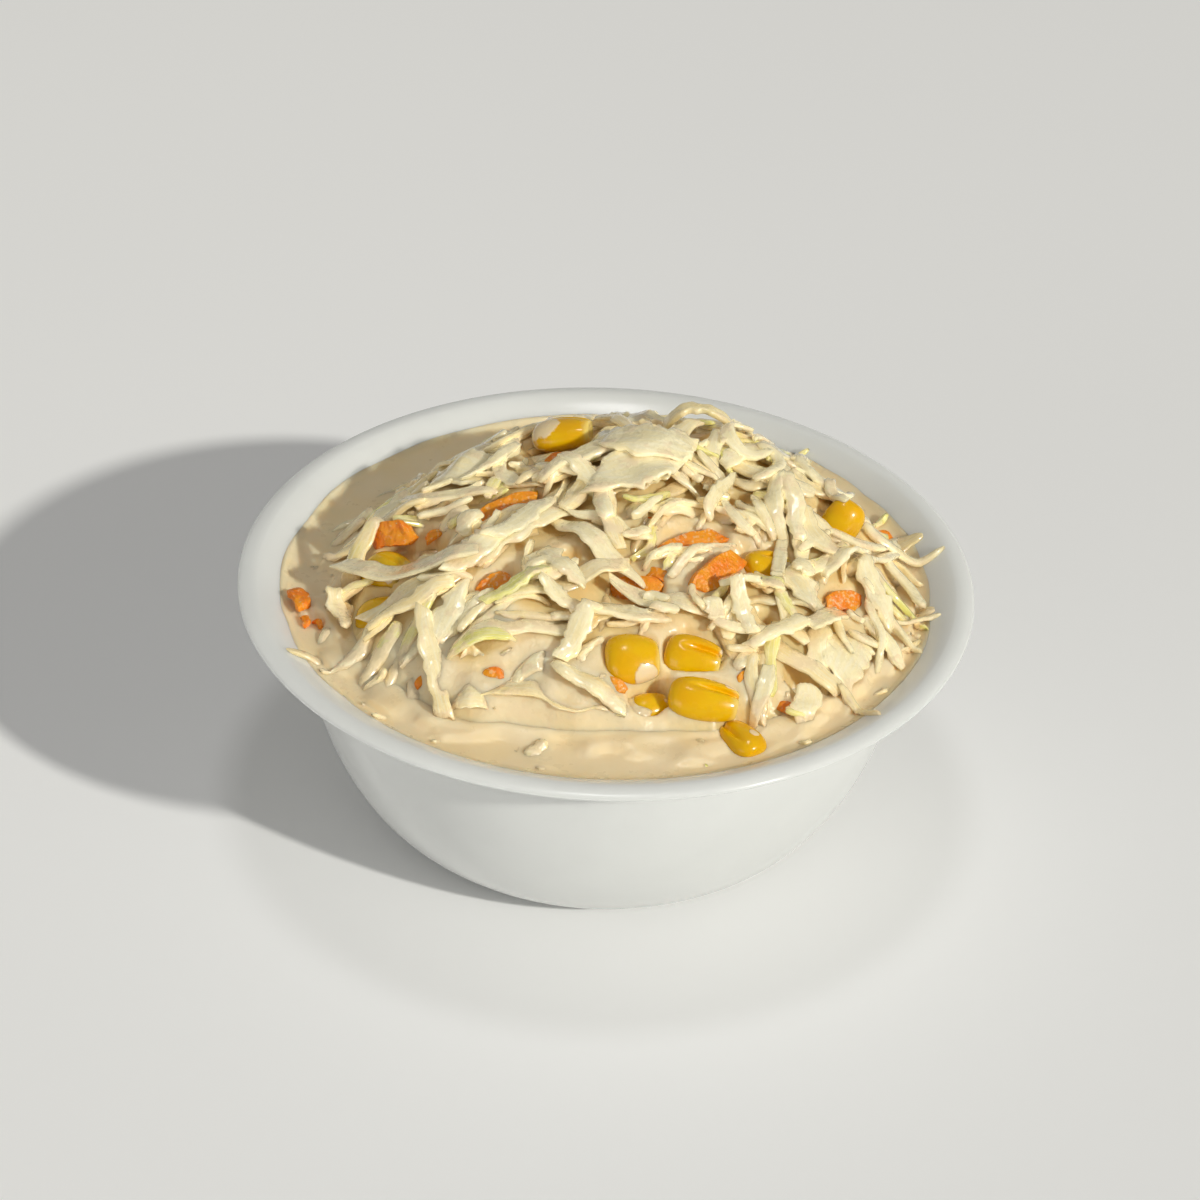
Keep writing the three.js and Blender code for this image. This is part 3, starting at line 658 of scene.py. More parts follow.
def settled(points, row, roll, pitch):
    """Turns a piece's points, lays them against the mound at its place and sets its height."""
    x, y, lift, heading = row[:4]
    step = 2
    slope_x = (mound_height(x + step, y) - mound_height(x - step, y)) / (2 * step)
    slope_y = (mound_height(x, y + step) - mound_height(x, y - step)) / (2 * step)
    up = Vector((-slope_x, -slope_y, 1)).normalized()
    turn = Vector((0, 0, 1)).rotation_difference(up)
    turn = turn @ Quaternion((0, 0, 1), math.radians(heading))
    turn = turn @ Quaternion((0, 1, 0), -math.radians(pitch))
    turn = turn @ Quaternion((1, 0, 0), math.radians(roll))
    place = np.array([x, y, float(mound_height(x, y)) + lift])
    return points @ np.array(turn.to_matrix()).T + place


def kernel_points(row, ball):
    """A ball of radius 1 made a kernel: a round crown at +X, a flat cut end at -X, a dent and a crease."""
    long, width, thickness, roll, pitch, crease = row[4:10]
    along = np.maximum(ball[:, 0], CORN_CAP)
    across, up = ball[:, 1], ball[:, 2]
    back = (1 - along) / 2
    full = np.sqrt(1 - np.minimum(0.97, along**2)) ** np.where(along > 0, -0.3, -0.45)
    narrow = (1 + (CORN_CUT - 1) * back) * np.minimum(full, 1.5)
    dent = 0.12 * np.maximum(0, along) * (1 - across**2)
    round_axis = np.arctan2(across, up)
    fold = crease * np.exp(-(((round_axis + CREASE_PLACE) / CREASE_WIDTH) ** 2))
    fold = fold * np.clip(1.6 * (0.5 - along), 0, 1) * np.clip(2 * np.hypot(across, up), 0, 1)
    shaped = np.c_[
        (along - dent) * long / 2,
        across * narrow * width / 2,
        up * narrow * thickness / 2 - 1.3 * fold,
    ]
    return settled(shaped, row, roll, pitch)


def carrot_points(row, block):
    """A block of length, width and thickness 1 made a shred of carrot: bowed and slightly tapered."""
    long, width, thickness, roll, pitch = row[4:9]
    along = 2 * block[:, 0]
    taper = 1 - 0.25 * along**4
    bow = 0.5 * (1 - along**2)
    shaped = np.c_[
        block[:, 0] * long,
        block[:, 1] * width * taper + bow,
        block[:, 2] * thickness * taper + 0.4 * bow,
    ]
    return settled(shaped, row, roll, pitch)


def ball_net(rings, sectors):
    """Points spread over a ball of radius 1."""
    u = np.linspace(0, math.pi, rings)
    v = np.linspace(0, 2 * math.pi, sectors)
    u, v = (grid.ravel() for grid in np.meshgrid(u, v))
    return np.c_[np.cos(u), np.sin(u) * np.cos(v), np.sin(u) * np.sin(v)]


def block_net(steps):
    """Points spread through a block of side 1."""
    axis = np.linspace(-0.5, 0.5, steps)
    return np.array([grid.ravel() for grid in np.meshgrid(axis, axis, axis)]).T


# ---- The laid heap ----


def bed_height(x, y):
    """Where the lowest shreds lie: below the mound, and below the dressing's level beyond its foot."""
    depth = np.clip((foot_share(x, y) - 0.75) / 0.25, 0, 1)
    return mound_height(x, y) - BED_DEPTH * (1 - depth) - SUNK_DEPTH * depth


def room_share(x, y):
    """How much of their ceiling the loose shreds keep: less at the heap's front foot and at its back."""
    clear_of_front = np.clip((0.2 * x + y + 44) / 18, 0, 1)
    towards_back = np.clip((y - 12) / 14, 0, 1)
    return (FRONT_SHARE + (1 - FRONT_SHARE) * clear_of_front) * (1 - BACK_LOSS * towards_back)


GARNISH_ROOM = 0.95  # shreds stay off this share of a kernel's or carrot's outline
GARNISH_DROP = 0.5  # where they pass under one, they end this far below its top


def limit_over_mound(height, garnish, drop=None):
    """A height map that the shreds stay below: over the mound, but lower at the garnish and gaps.

    With a drop given it is the cream's limit, which meets a piece of garnish that far below its middle.
    """
    limit = HeightMap(lambda x, y: mound_height(x, y) + height * (room_share(x, y) if drop is None else 1))
    for points in garnish:
        middle = points.mean(axis=0)
        closer = middle + (points - middle) * GARNISH_ROOM
        top = HeightMap(lambda x, y: 0 * x)
        top.raise_to(closer[:, 0], closer[:, 1], closer[:, 2])
        level = top.heights - GARNISH_DROP if drop is None else middle[2] - drop
        limit.heights = np.where(top.heights > 0, np.minimum(limit.heights, level), limit.heights)
    for x, y, radius, depth in GAPS:
        inside = np.clip(2 - 2 * np.hypot(limit.x - x, limit.y - y) / radius, 0, 1)
        floor = mound_height(x, y) - depth
        lowered = np.minimum(limit.heights, limit.heights * (1 - inside) + floor * inside)
        limit.heights = np.where(inside > 0, lowered, limit.heights)
    return limit


@lru_cache(maxsize=1)
def laid_heap():
    """Lays every shred. Gives the nets by kind, the whole heap's heights and the garnish's points."""
    heap = bpy.context.scene.coleslaw_heap
    draw = np.random.default_rng(heap.seed)
    surface = HeightMap(bed_height)
    garnish = [kernel_points(row, ball_net(36, 48)) for row in CORN.values()]
    garnish += [carrot_points(row, block_net(18)) for row in CARROT.values()]
    bed_limit = limit_over_mound(BED_CEILING, garnish)
    top_limit = limit_over_mound(TOP_CEILING, garnish)
    upper_limit = limit_over_mound(UPPER_CEILING, garnish)
    sunk_limit = HeightMap(lambda x, y: np.maximum(LEVEL, mound_height(x, y)) + SUNK_CEILING)
    sunk_limit.heights = np.minimum(sunk_limit.heights, top_limit.heights + 3)
    nets = {"bed": [], "main": [], "top": [], "sunk": []}

    def lay(shred, kind, limit=None, on_mound=False, headroom=0.0):
        net = laid(shred, surface, on_mound)
        if limit is not None:
            net = kept_run(net, limit, shred.thickness / 2 + headroom)
        if net is None:
            return
        nets[kind].append((net, shred.thickness, shred.tone))
        x, y, z = (halved(halved(values)) for values in net)
        surface.raise_to(x, y, z + shred.thickness / 2)

    for _ in range(heap.bed_count):
        shred = loose_shred(draw, 1.0, surface, PLACE_TRIES)
        shred.steps = BED_STEPS
        lay(shred, "bed", bed_limit)
    for row in filler_shreds():
        tone = float(np.clip(draw.normal(0.28, 0.2), 0, 1))
        bends = random_bends(draw, row[4])
        bends.update(tips=(0.0, 0.0), steps=MAIN_STEPS)
        lay(Shred((*row, tone, *draw.uniform(0.1, 0.8, 2)), **bends), "main", top_limit, on_mound=True)
    for points in garnish:
        surface.raise_to(points[:, 0], points[:, 1], points[:, 2])
    for row in MAIN_SHREDS:
        bends = random_bends(draw, row[4])
        bends.update(wiggle=bends["wiggle"] * 0.3, roll=(0.0, 0.0), tips=(0.0, 0.0), steps=MAIN_STEPS)
        lay(Shred(row, **bends), "main", on_mound=True)
    for _ in range(heap.top_count):
        shred = loose_shred(draw, 0.97, surface, PLACE_TRIES)
        lay(shred, "top", top_limit, headroom=draw.uniform(0, HEADROOM))
    for row in UPPER_SHREDS:
        bends = random_bends(draw, row[4])
        bends.update(wiggle=bends["wiggle"] * 0.5, tips=(0.0, 0.0))
        lay(Shred(row, **bends), "top", upper_limit)
    for row in BRIDGING_SHREDS:
        rough = draw.normal(0, 0.06, (2, 20))
        lay(Shred(row, rough=rough, thickness=BRIDGE_THICKNESS, steps=MAIN_STEPS), "main")
    for _ in range(heap.sunk_count):
        shred = loose_shred(draw, 1.0, surface)
        angle = math.atan2(shred.y - FOOT_Y, shred.x - FOOT_X)
        radius = foot_radius(angle) * draw.uniform(0.98, 1.1)
        shred.x, shred.y = FOOT_X + radius * math.cos(angle), FOOT_Y + radius * math.sin(angle)
        shred.tips, shred.lift = (0.0, 0.0), 0.0
        lay(shred, "sunk", sunk_limit)
    return nets, surface, garnish


@lru_cache(maxsize=1)
def crest_height():
    """Height map that runs smoothly over the tops of the shreds."""
    return laid_heap()[1].filled(CREST_REACH).softened(1.5)


def depth_share(x, y, z):
    """1 at the tops of the shreds and 0 deep in a gap, which sets how much painted shade a place gets."""
    return np.clip(1 + (z - crest_height().between(x, y)) / GAP_DEPTH, 0, 1)


@lru_cache(maxsize=1)
def cream_height():
    """Height map of the cream: it fills the gaps between the shreds, less so at the top and back."""
    heap = bpy.context.scene.coleslaw_heap
    _, surface, garnish = laid_heap()
    film = surface.filled(FILM_REACH)
    dry = np.clip((0.4 * film.x + film.y + 34) / 60, 0, 1)  # 0 at the front left, 1 at the back right
    film.heights = film.heights * dry + surface.filled(FRONT_REACH).heights * (1 - dry)
    film.heights = np.minimum(film.heights, limit_over_mound(FILM_CEILING, garnish, FILM_DROP).heights)
    patches = HeightMap(lambda x, y: np.random.default_rng(heap.seed + 5).normal(0, 1, x.shape)).softened(1.8)
    uneven = patches.heights / patches.heights.std()
    film.heights = film.heights - heap.film / MM * np.clip(0.25 + 1.4 * dry + 0.4 * uneven, 0.05, 3)
    return film.softened(FILM_SPREAD)


# ---- Making pieces ----


def as_mesh(name, bm):
    mesh = bpy.data.meshes.new(name)
    bm.to_mesh(mesh)
    bm.free()
    return mesh


def in_scene(name, data):
    """A new object, linked to the scene."""
    thing = bpy.data.objects.new(name, data)
    bpy.context.scene.collection.objects.link(thing)
    return thing


def new_piece(name, bm, material, replaced=()):
    """Turns a shape in millimetres into a finished piece that rides on the bowl."""
    bmesh.ops.scale(bm, vec=(MM, MM, MM), verts=bm.verts)
    mesh = as_mesh(name, bm)
    mesh.materials.append(material)
    mesh.polygons.foreach_set("use_smooth", [True] * len(mesh.polygons))
    piece = in_scene(name, mesh)
    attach(piece, BODY)
    if replaced:
        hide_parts(*replaced)
    return piece


def subdivided(piece, levels=1):
    modifier = piece.modifiers.new("Rounding", "SUBSURF")
    modifier.levels = modifier.render_levels = levels
    return piece


def spun(points, sectors):
    """A profile of radius and height turned into a closed solid."""
    bm = bmesh.new()
    verts = [bm.verts.new((radius, 0, z)) for radius, z in points]
    edges = [bm.edges.new(pair) for pair in zip(verts, verts[1:])]
    bmesh.ops.spin(
        bm,
        geom=verts + edges,
        cent=(0, 0, 0),
        axis=(0, 0, 1),
        angle=2 * math.pi,
        steps=sectors,
        use_merge=True,
    )
    bmesh.ops.remove_doubles(bm, verts=bm.verts, dist=1e-4)
    bmesh.ops.recalc_face_normals(bm, faces=bm.faces)
    return bm


def arc(centre, radii, start, end, count):
    """Points on an ellipse from one angle to another, in degrees."""
    angles = np.radians(np.linspace(start, end, count))
    return [(centre[0] + radii[0] * math.cos(a), centre[1] + radii[1] * math.sin(a)) for a in angles]


def curve(corners, count):
    """Points on a Bezier curve of any number of corners, without the first."""
    degree = len(corners) - 1
    points = []
    for t in np.linspace(0, 1, count + 1)[1:]:
        weights = [math.comb(degree, i) * t**i * (1 - t) ** (degree - i) for i in range(degree + 1)]
        points.append(tuple(float(np.dot(weights, [c[axis] for c in corners])) for axis in (0, 1)))
    return points


def round_side(foot, foot_z, radius, rise, count):
    """The quarter ellipse of a bowl's side, up to the height at which its lip flares out."""
    end = math.degrees(math.asin((FLARE_START - foot_z - rise) / rise))
    return arc((foot, foot_z + rise), (radius - foot, rise), -90, end, count)


def inside_profile():
    """The bowl's inside from its floor up to the lip's crest."""
    points = [(0.0, FLOOR_THICKNESS), (FLOOR_RADIUS * 0.6, FLOOR_THICKNESS)]
    points += round_side(FLOOR_RADIUS, FLOOR_THICKNESS, INNER_RADIUS, INNER_RISE, 16)
    points += curve([points[-1], (INNER_RADIUS + 0.8, LEVEL - 1.8), (LEVEL_RADIUS, LEVEL)], 8)
    points += curve([points[-1], (LEVEL_RADIUS + 3.4, BOWL_HEIGHT - 0.5), (CREST_RADIUS, BOWL_HEIGHT)], 9)
    return points


def bowl_profile():
    """The whole wall: from the middle of the base up the outside, over the lip and down the inside."""
    lip_z = BOWL_HEIGHT - LIP_EDGE
    lip = (RIM_RADIUS - LIP_EDGE * 0.5, lip_z - LIP_EDGE * 0.6)
    points = [(0.0, 0.0), (BASE_RADIUS * 0.7, 0.0)]
    points += round_side(BASE_RADIUS, 0, BODY_RADIUS, BODY_RISE, 22)
    flare = [points[-1], (BODY_RADIUS + 0.2, FLARE_START + 3.4), (RIM_RADIUS - 5, lip_z - 2.6), lip]
    points += curve(flare, 10)
    points += curve([lip, (RIM_RADIUS + 0.9, lip_z + 0.6), (CREST_RADIUS + LIP_EDGE, BOWL_HEIGHT)], 8)
    return points + inside_profile()[::-1]


BOWL_SECTORS = 160


def make_bowl():
    return new_piece("opal_bowl", spun(bowl_profile(), BOWL_SECTORS), opal_glass(), ("bowl",))


DRESSING_SECTORS = 240
DRESSING_RINGS = 42
DRESSING_INNER = 36.0  # the dressing's surface ends at this radius, under the heap
MENISCUS = 1.0  # how far the dressing climbs the wall
WALL_REACH = 0.5  # the dressing reaches this far into the wall


def dressing_height(x, y):
    """Top of the dressing: level, drawn up at the wall and round what pokes out of it."""
    radius = np.hypot(x, y)
    lifted = cream_height().between(x, y)
    swell = np.clip(lifted - LEVEL + 0.25, 0, 1.4)
    ripple = 0.12 * np.sin(0.21 * x + 0.5) * np.cos(0.17 * y) + 0.05 * np.sin(0.53 * x - 0.4 * y)
    at_wall = MENISCUS * np.exp(-np.maximum(0, LEVEL_RADIUS + 0.9 - radius) / 0.9)
    return LEVEL - 0.15 + ripple + np.where(radius < LEVEL_RADIUS - 1.5, swell, 0) + at_wall


def make_dressing():
    seat = SEAT_Z - 0.3
    wall = [p for p in inside_profile() if p[1] <= LEVEL - 0.1 and p[0] > 0]
    points = [(0.0, FLOOR_THICKNESS - WALL_REACH)]
    points += [(radius + WALL_REACH, z - WALL_REACH * 0.5) for radius, z in wall]
    rings = np.linspace(LEVEL_RADIUS + 1.6, DRESSING_INNER, DRESSING_RINGS)
    points += [(float(radius), LEVEL) for radius in rings]
    points += [(DRESSING_INNER - 2, seat), (20.0, seat), (0.0, seat)]
    bm = spun(points, DRESSING_SECTORS)
    top = [v for v in bm.verts if v.co.z > LEVEL - 0.01]
    x = np.array([v.co.x for v in top])
    y = np.array([v.co.y for v in top])
    for vert, z in zip(top, dressing_height(x, y)):
        vert.co.z = z
    return new_piece("dressing_pool", bm, cream("Dressing"), ("dressing",))


CORE_SECTORS = 360
CORE_RINGS = 86


def make_core():
    """The creamy body of the heap, which shows between the shreds."""
    profile = [(0.0, SEAT_Z), (0.8, SEAT_Z), (0.93, SEAT_Z)]
    profile += [(1.05 * share, LEVEL) for share in np.linspace(1, 0, CORE_RINGS)]
    bm = spun(profile, CORE_SECTORS)
    shares = np.array([(v.co.x, v.co.y, v.co.z) for v in bm.verts])
    angle = np.arctan2(shares[:, 1], shares[:, 0])
    reach = np.hypot(shares[:, 0], shares[:, 1]) * foot_radius(angle)
    x, y = FOOT_X + reach * np.cos(angle), FOOT_Y + reach * np.sin(angle)
    sink = np.clip((foot_share(x, y) - 0.93) / 0.12, 0, 1)
    film = cream_height().between(x, y) * (1 - sink) + (LEVEL - 0.5) * sink
    top = shares[:, 2] > SEAT_Z + 0.01
    z = np.where(top, np.maximum(film, SEAT_Z + 1), SEAT_Z)
    # the depth share, by which the material paints shade into the gaps
    depth = bm.verts.layers.float.new("depth")
    sunken = depth_share(x, y, z)
    for vert, place, low in zip(bm.verts, np.c_[x, y, z], sunken):
        vert.co = place
        vert[depth] = low
    return new_piece("heap_cream", bm, cream("Heap cream"), ("slaw",))


STRIP_THICKNESS = 1.2  # of the thickest strips
EDGE_THICKNESS = 0.6  # share of it that a strip keeps at its edges
GRAZE = 0.3  # millimetres: what stands less than this above the cream goes under it
GRAZE_SINK = 0.7  # millimetres: by up to so much
GRAZE_BLEND = 0.15


def strip_into(bm, net, thickness, tone, layers):
    """Adds one strip as a grid moved onto its net, with its tone, depth and thickness."""
    x, y, z = net
    steps, lanes = x.shape[0] - 1, x.shape[1] - 1
    grid = bmesh.ops.create_grid(bm, x_segments=steps, y_segments=lanes, size=1.0)["verts"]
    # the depth share, by which the material paints shade into the gaps
    depth = depth_share(x, y, z)
    proud = z - cream_height().between(x, y)
    proud[1:-1, 1:-1] += thickness / 2
    z = z - GRAZE_SINK * np.clip((GRAZE - proud) / GRAZE_BLEND, 0, 1)
    tone_layer, depth_layer, proud_layer, deform, uv = layers
    faces = set()
    for vert in grid:
        i = round((vert.co.x + 1) / 2 * steps)
        j = round((vert.co.y + 1) / 2 * lanes)
        vert.co = (x[i, j], y[i, j], z[i, j])
        vert[tone_layer] = tone
        vert[depth_layer] = depth[i, j]
        vert[proud_layer] = proud[i, j]
        at_edge = i in (0, steps) or j in (0, lanes)
        vert[deform][0] = thickness / STRIP_THICKNESS * (EDGE_THICKNESS if at_edge else 1.0)
        faces.update(vert.link_faces)
        for loop in vert.link_loops:
            loop[uv].uv = (i / steps, j / lanes)


def make_strips(name, strips, levels=0):
    """All strips of a kind as one piece of thin grids, which a modifier gives their thickness."""
    bm = bmesh.new()
    layers = (
        bm.verts.layers.float.new("tone"),
        bm.verts.layers.float.new("depth"),
        bm.verts.layers.float.new("proud"),
        bm.verts.layers.deform.verify(),
        bm.loops.layers.uv.new("strip"),
    )
    for net, thickness, tone in strips:
        strip_into(bm, net, thickness, tone, layers)
    piece = new_piece(name, bm, cabbage(), ("slaw",))
    piece.vertex_groups.new(name="thickness")
    wall = piece.modifiers.new("Thickness", "SOLIDIFY")
    wall.thickness = STRIP_THICKNESS * MM
    wall.offset = 0.0
    wall.vertex_group = "thickness"
    wall.use_rim = True
    return subdivided(piece, levels) if levels else piece


KERNEL_SECTORS = 112
KERNEL_RINGS = 26


def make_kernel(node, row):
    bm = bmesh.new()
    bmesh.ops.create_uvsphere(bm, u_segments=KERNEL_SECTORS, v_segments=KERNEL_RINGS, radius=1.0)
    bmesh.ops.rotate(bm, cent=(0, 0, 0), matrix=Matrix.Rotation(math.pi / 2, 3, "Y"), verts=bm.verts)
    ball = np.array([v.co for v in bm.verts])
    crown = bm.verts.layers.float.new("crown")
    smear = bm.verts.layers.float.new("smear")
    smear_along, smear_across, smear_size = row[10:13]
    for vert, place, unit in zip(bm.verts, kernel_points(row, ball), ball):
        away = math.hypot(unit[0] - smear_along, unit[1] - smear_across) / smear_size
        vert[crown] = unit[0]
        vert[smear] = max(0.0, 1 - away) if unit[2] > -0.3 else 0.0
        vert.co = place
    name = node.replace("corn", "kernel")
    return new_piece(name, bm, sweetcorn(), (node,))


CARROT_CUTS = 11
SCRAP_CUTS = 4
SCRAP_ROLL = 20
SCRAP_SMEAR = 0.25


def rough_block(row, draw, cuts, smear):
    """A crumbly shred of carrot, from a block cut into small squares."""
    bm = bmesh.new()
    bmesh.ops.create_cube(bm, size=1.0)
    bmesh.ops.subdivide_edges(bm, edges=bm.edges, cuts=cuts, use_grid_fill=True)
    layer = bm.verts.layers.float.new("smear")
    block = np.array([v.co for v in bm.verts])
    stations = np.linspace(-0.5, 0.5, 8)
    ragged = [1 + np.interp(block[:, 0], stations, draw.normal(0, 0.1, 8)) for _ in range(4)]
    block[:, 1] *= np.where(block[:, 1] > 0, ragged[0], ragged[1])
    block[:, 2] *= np.where(block[:, 2] > 0, ragged[2], ragged[3])
    block[:, 0] += draw.normal(0, 0.12) * block[:, 1] + draw.normal(0, 0.08) * block[:, 2]
    jitter = draw.normal(0, 0.06, block.shape)
    for vert, place in zip(bm.verts, carrot_points(row, block) + jitter):
        vert.co = place
        vert[layer] = smear
    return bm


def make_carrot(node, row, draw):
    bm = rough_block(row, draw, CARROT_CUTS, row[9])
    name = node.replace("carrot", "carrot_shred")
    return subdivided(new_piece(name, bm, carrot(), (node,)))


def make_scraps(name, rows, material, draw):
    bm = bmesh.new()
    for row in rows:
        mesh = as_mesh("scrap", rough_block((*row, SCRAP_ROLL, 0), draw, SCRAP_CUTS, SCRAP_SMEAR))
        bm.from_mesh(mesh)
        bpy.data.meshes.remove(mesh)
    bm.verts.layers.float.new("crown")
    return subdivided(new_piece(name, bm, material))


# ---- Material nodes ----


def add_node(tree, kind, inputs=None, **options):
    """Adds a node, sets its options, and gives each input a value or another node's output."""
    node = tree.nodes.new(kind)
    for name, value in options.items():
        setattr(node, name, value)
    for key, value in (inputs or {}).items():
        if isinstance(value, bpy.types.NodeSocket):
            tree.links.new(value, node.inputs[key])
        else:
            node.inputs[key].default_value = value
    return node


def object_place(tree):
    return add_node(tree, "ShaderNodeTexCoord").outputs["Object"]


def mixed(tree, factor, a, b):
    """A colour between two others."""
    inputs = {0: factor, 6: a, 7: b}
    return add_node(tree, "ShaderNodeMix", inputs, data_type="RGBA", clamp_factor=True).outputs[2]


def rgba(value):
    return (*value, 1.0)


def ranged(tree, value, low, high, to_low=0.0, to_high=1.0):
    """Stretches a value from one range to another and stops at its ends."""
    inputs = {"Value": value, "From Min": low, "From Max": high, "To Min": to_low, "To Max": to_high}
    return add_node(tree, "ShaderNodeMapRange", inputs, interpolation_type="SMOOTHSTEP").outputs["Result"]


def sums(tree, operation, a, b):
    return add_node(tree, "ShaderNodeMath", {0: a, 1: b}, operation=operation).outputs[0]


def times(tree, a, b):
    return sums(tree, "MULTIPLY", a, b)


def attribute(tree, name):
    node = add_node(tree, "ShaderNodeAttribute", attribute_name=name, attribute_type="GEOMETRY")
    return node.outputs["Fac"]


def noise(tree, coordinates, scale, detail=3.0, roughness=0.5):
    inputs = {"Vector": coordinates, "Scale": scale, "Detail": detail, "Roughness": roughness}
    return add_node(tree, "ShaderNodeTexNoise", inputs).outputs["Fac"]


def new_group(name, inputs, output):
    """A node group with number sockets: its inputs as name: default, and one output by name."""
    tree = bpy.data.node_groups.new(name, "ShaderNodeTree")
    for socket, default in inputs.items():
        item = tree.interface.new_socket(socket, in_out="INPUT", socket_type="NodeSocketFloat")
        item.default_value = default
    tree.interface.new_socket(output, in_out="OUTPUT", socket_type="NodeSocketFloat")
    return tree, tree.nodes.new("NodeGroupInput"), tree.nodes.new("NodeGroupOutput")


@lru_cache(maxsize=1)
def film_group():
    """A film of dressing in patches, as a mask broken up by noise."""
    inputs = {"Scale": 300.0, "Cover": 0.5, "Edge": 0.12}
    tree, entry, leave = new_group("Film of dressing", inputs, "Mask")
    place = object_place(tree)
    cloud = noise(tree, place, entry.outputs["Scale"], 4.0, 0.55)
    threshold = sums(tree, "SUBTRACT", 1.0, entry.outputs["Cover"])
    low = sums(tree, "SUBTRACT", threshold, entry.outputs["Edge"])
    high = sums(tree, "ADD", threshold, entry.outputs["Edge"])
    stretched = ranged(tree, cloud, 0.3, 0.7)
    mask = ranged(tree, stretched, low, high)
    tree.links.new(mask, leave.inputs["Mask"])
    return tree


@lru_cache(maxsize=1)
def wet_group():
    """Fine unevenness that breaks the shine of wet food into glints."""
    tree, entry, leave = new_group("Wet unevenness", {"Scale": 900.0, "Coarse": 0.6}, "Height")
    place = object_place(tree)
    fine = noise(tree, place, entry.outputs["Scale"], 2.0)
    wide = noise(tree, place, times(tree, entry.outputs["Scale"], 0.3), 2.0)
    both = sums(tree, "ADD", fine, times(tree, wide, entry.outputs["Coarse"]))
    tree.links.new(both, leave.inputs["Height"])
    return tree


def grouped(tree, group, inputs):
    return add_node(tree, "ShaderNodeGroup", inputs, node_tree=group).outputs


def new_material(name):
    material = bpy.data.materials.new(name)
    material.use_nodes = True
    tree = material.node_tree
    tree.nodes.clear()
    out = tree.nodes.new("ShaderNodeOutputMaterial")
    shader = tree.nodes.new("ShaderNodeBsdfPrincipled")
    tree.links.new(shader.outputs["BSDF"], out.inputs["Surface"])
    return material, tree, shader


def set_soft(shader, weight, scale, radius):
    """Light that goes into the food and comes out a little way off."""
    shader.subsurface_method = "BURLEY"
    shader.inputs["Subsurface Weight"].default_value = weight
    shader.inputs["Subsurface Scale"].default_value = scale * MM
    shader.inputs["Subsurface Radius"].default_value = radius


def set_coat(shader, weight, roughness):
    """A thin wet layer on top."""
    shader.inputs["Coat Weight"].default_value = weight
    shader.inputs["Coat Roughness"].default_value = roughness


def wetted(tree, shader, scale, coarse, heights, roughness):
    """Fine unevenness that varies how sharp the shine is. Gives its height, for the relief."""
    wet = grouped(tree, wet_group(), {"Scale": scale, "Coarse": coarse})["Height"]
    tree.links.new(ranged(tree, wet, *heights, *roughness), shader.inputs["Roughness"])
    return wet


def bumped(tree, shader, height, distance):
    inputs = {"Height": height, "Distance": distance * MM, "Strength": 1.0}
    tree.links.new(add_node(tree, "ShaderNodeBump", inputs).outputs["Normal"], shader.inputs["Normal"])


def colours():
    return bpy.context.scene.coleslaw_colours


@lru_cache(maxsize=1)
def opal_glass():
    material, tree, shader = new_material("Opal glass")
    place = object_place(tree)
    cloud = ranged(tree, noise(tree, place, 38.0, 3.0), 0.35, 0.65)
    base = rgba(colours().glass)
    greyer = rgba([0.955 * c for c in colours().glass])
    tree.links.new(mixed(tree, cloud, base, greyer), shader.inputs["Base Color"])
    marks = noise(tree, place, 90.0, 2.0)
    tree.links.new(ranged(tree, marks, 0.3, 0.7, 0.18, 0.24), shader.inputs["Roughness"])
    bumped(tree, shader, noise(tree, place, 35.0, 1.0), 0.03)
    set_soft(shader, 0.8, 4.0, (1.0, 1.0, 1.0))
    shader.inputs["IOR"].default_value = 1.5
    return material


@lru_cache(maxsize=2)
def cream(name):
    """Dressing: warm cream, with painted shade that deepens its colour low in the heap's gaps."""
    material, tree, shader = new_material(name)
    place = object_place(tree)
    clouds = ranged(tree, noise(tree, place, 120.0, 4.0), 0.35, 0.7)
    pale = rgba(colours().cream)
    warmer = rgba([c * f for c, f in zip(colours().cream, (0.98, 0.95, 0.86))])
    base = mixed(tree, clouds, pale, warmer)
    if name == "Heap cream":
        # painted shade: the heap cream turns darker and warmer down in the gaps between the shreds
        low = ranged(tree, attribute(tree, "depth"), 0.75, 0.1)
        base = mixed(tree, low, base, rgba(colours().gap_shade_cream))
    tree.links.new(base, shader.inputs["Base Color"])
    wet = wetted(tree, shader, 700.0, 1.6, (0.7, 1.4), (0.18, 0.36))
    bumped(tree, shader, wet, 0.22 if name == "Heap cream" else 0.05)
    set_soft(shader, 0.9, 2.6, (1.0, 0.62, 0.34))
    return material


VEIN_COLOUR = (0.96, 0.90, 0.70, 1)


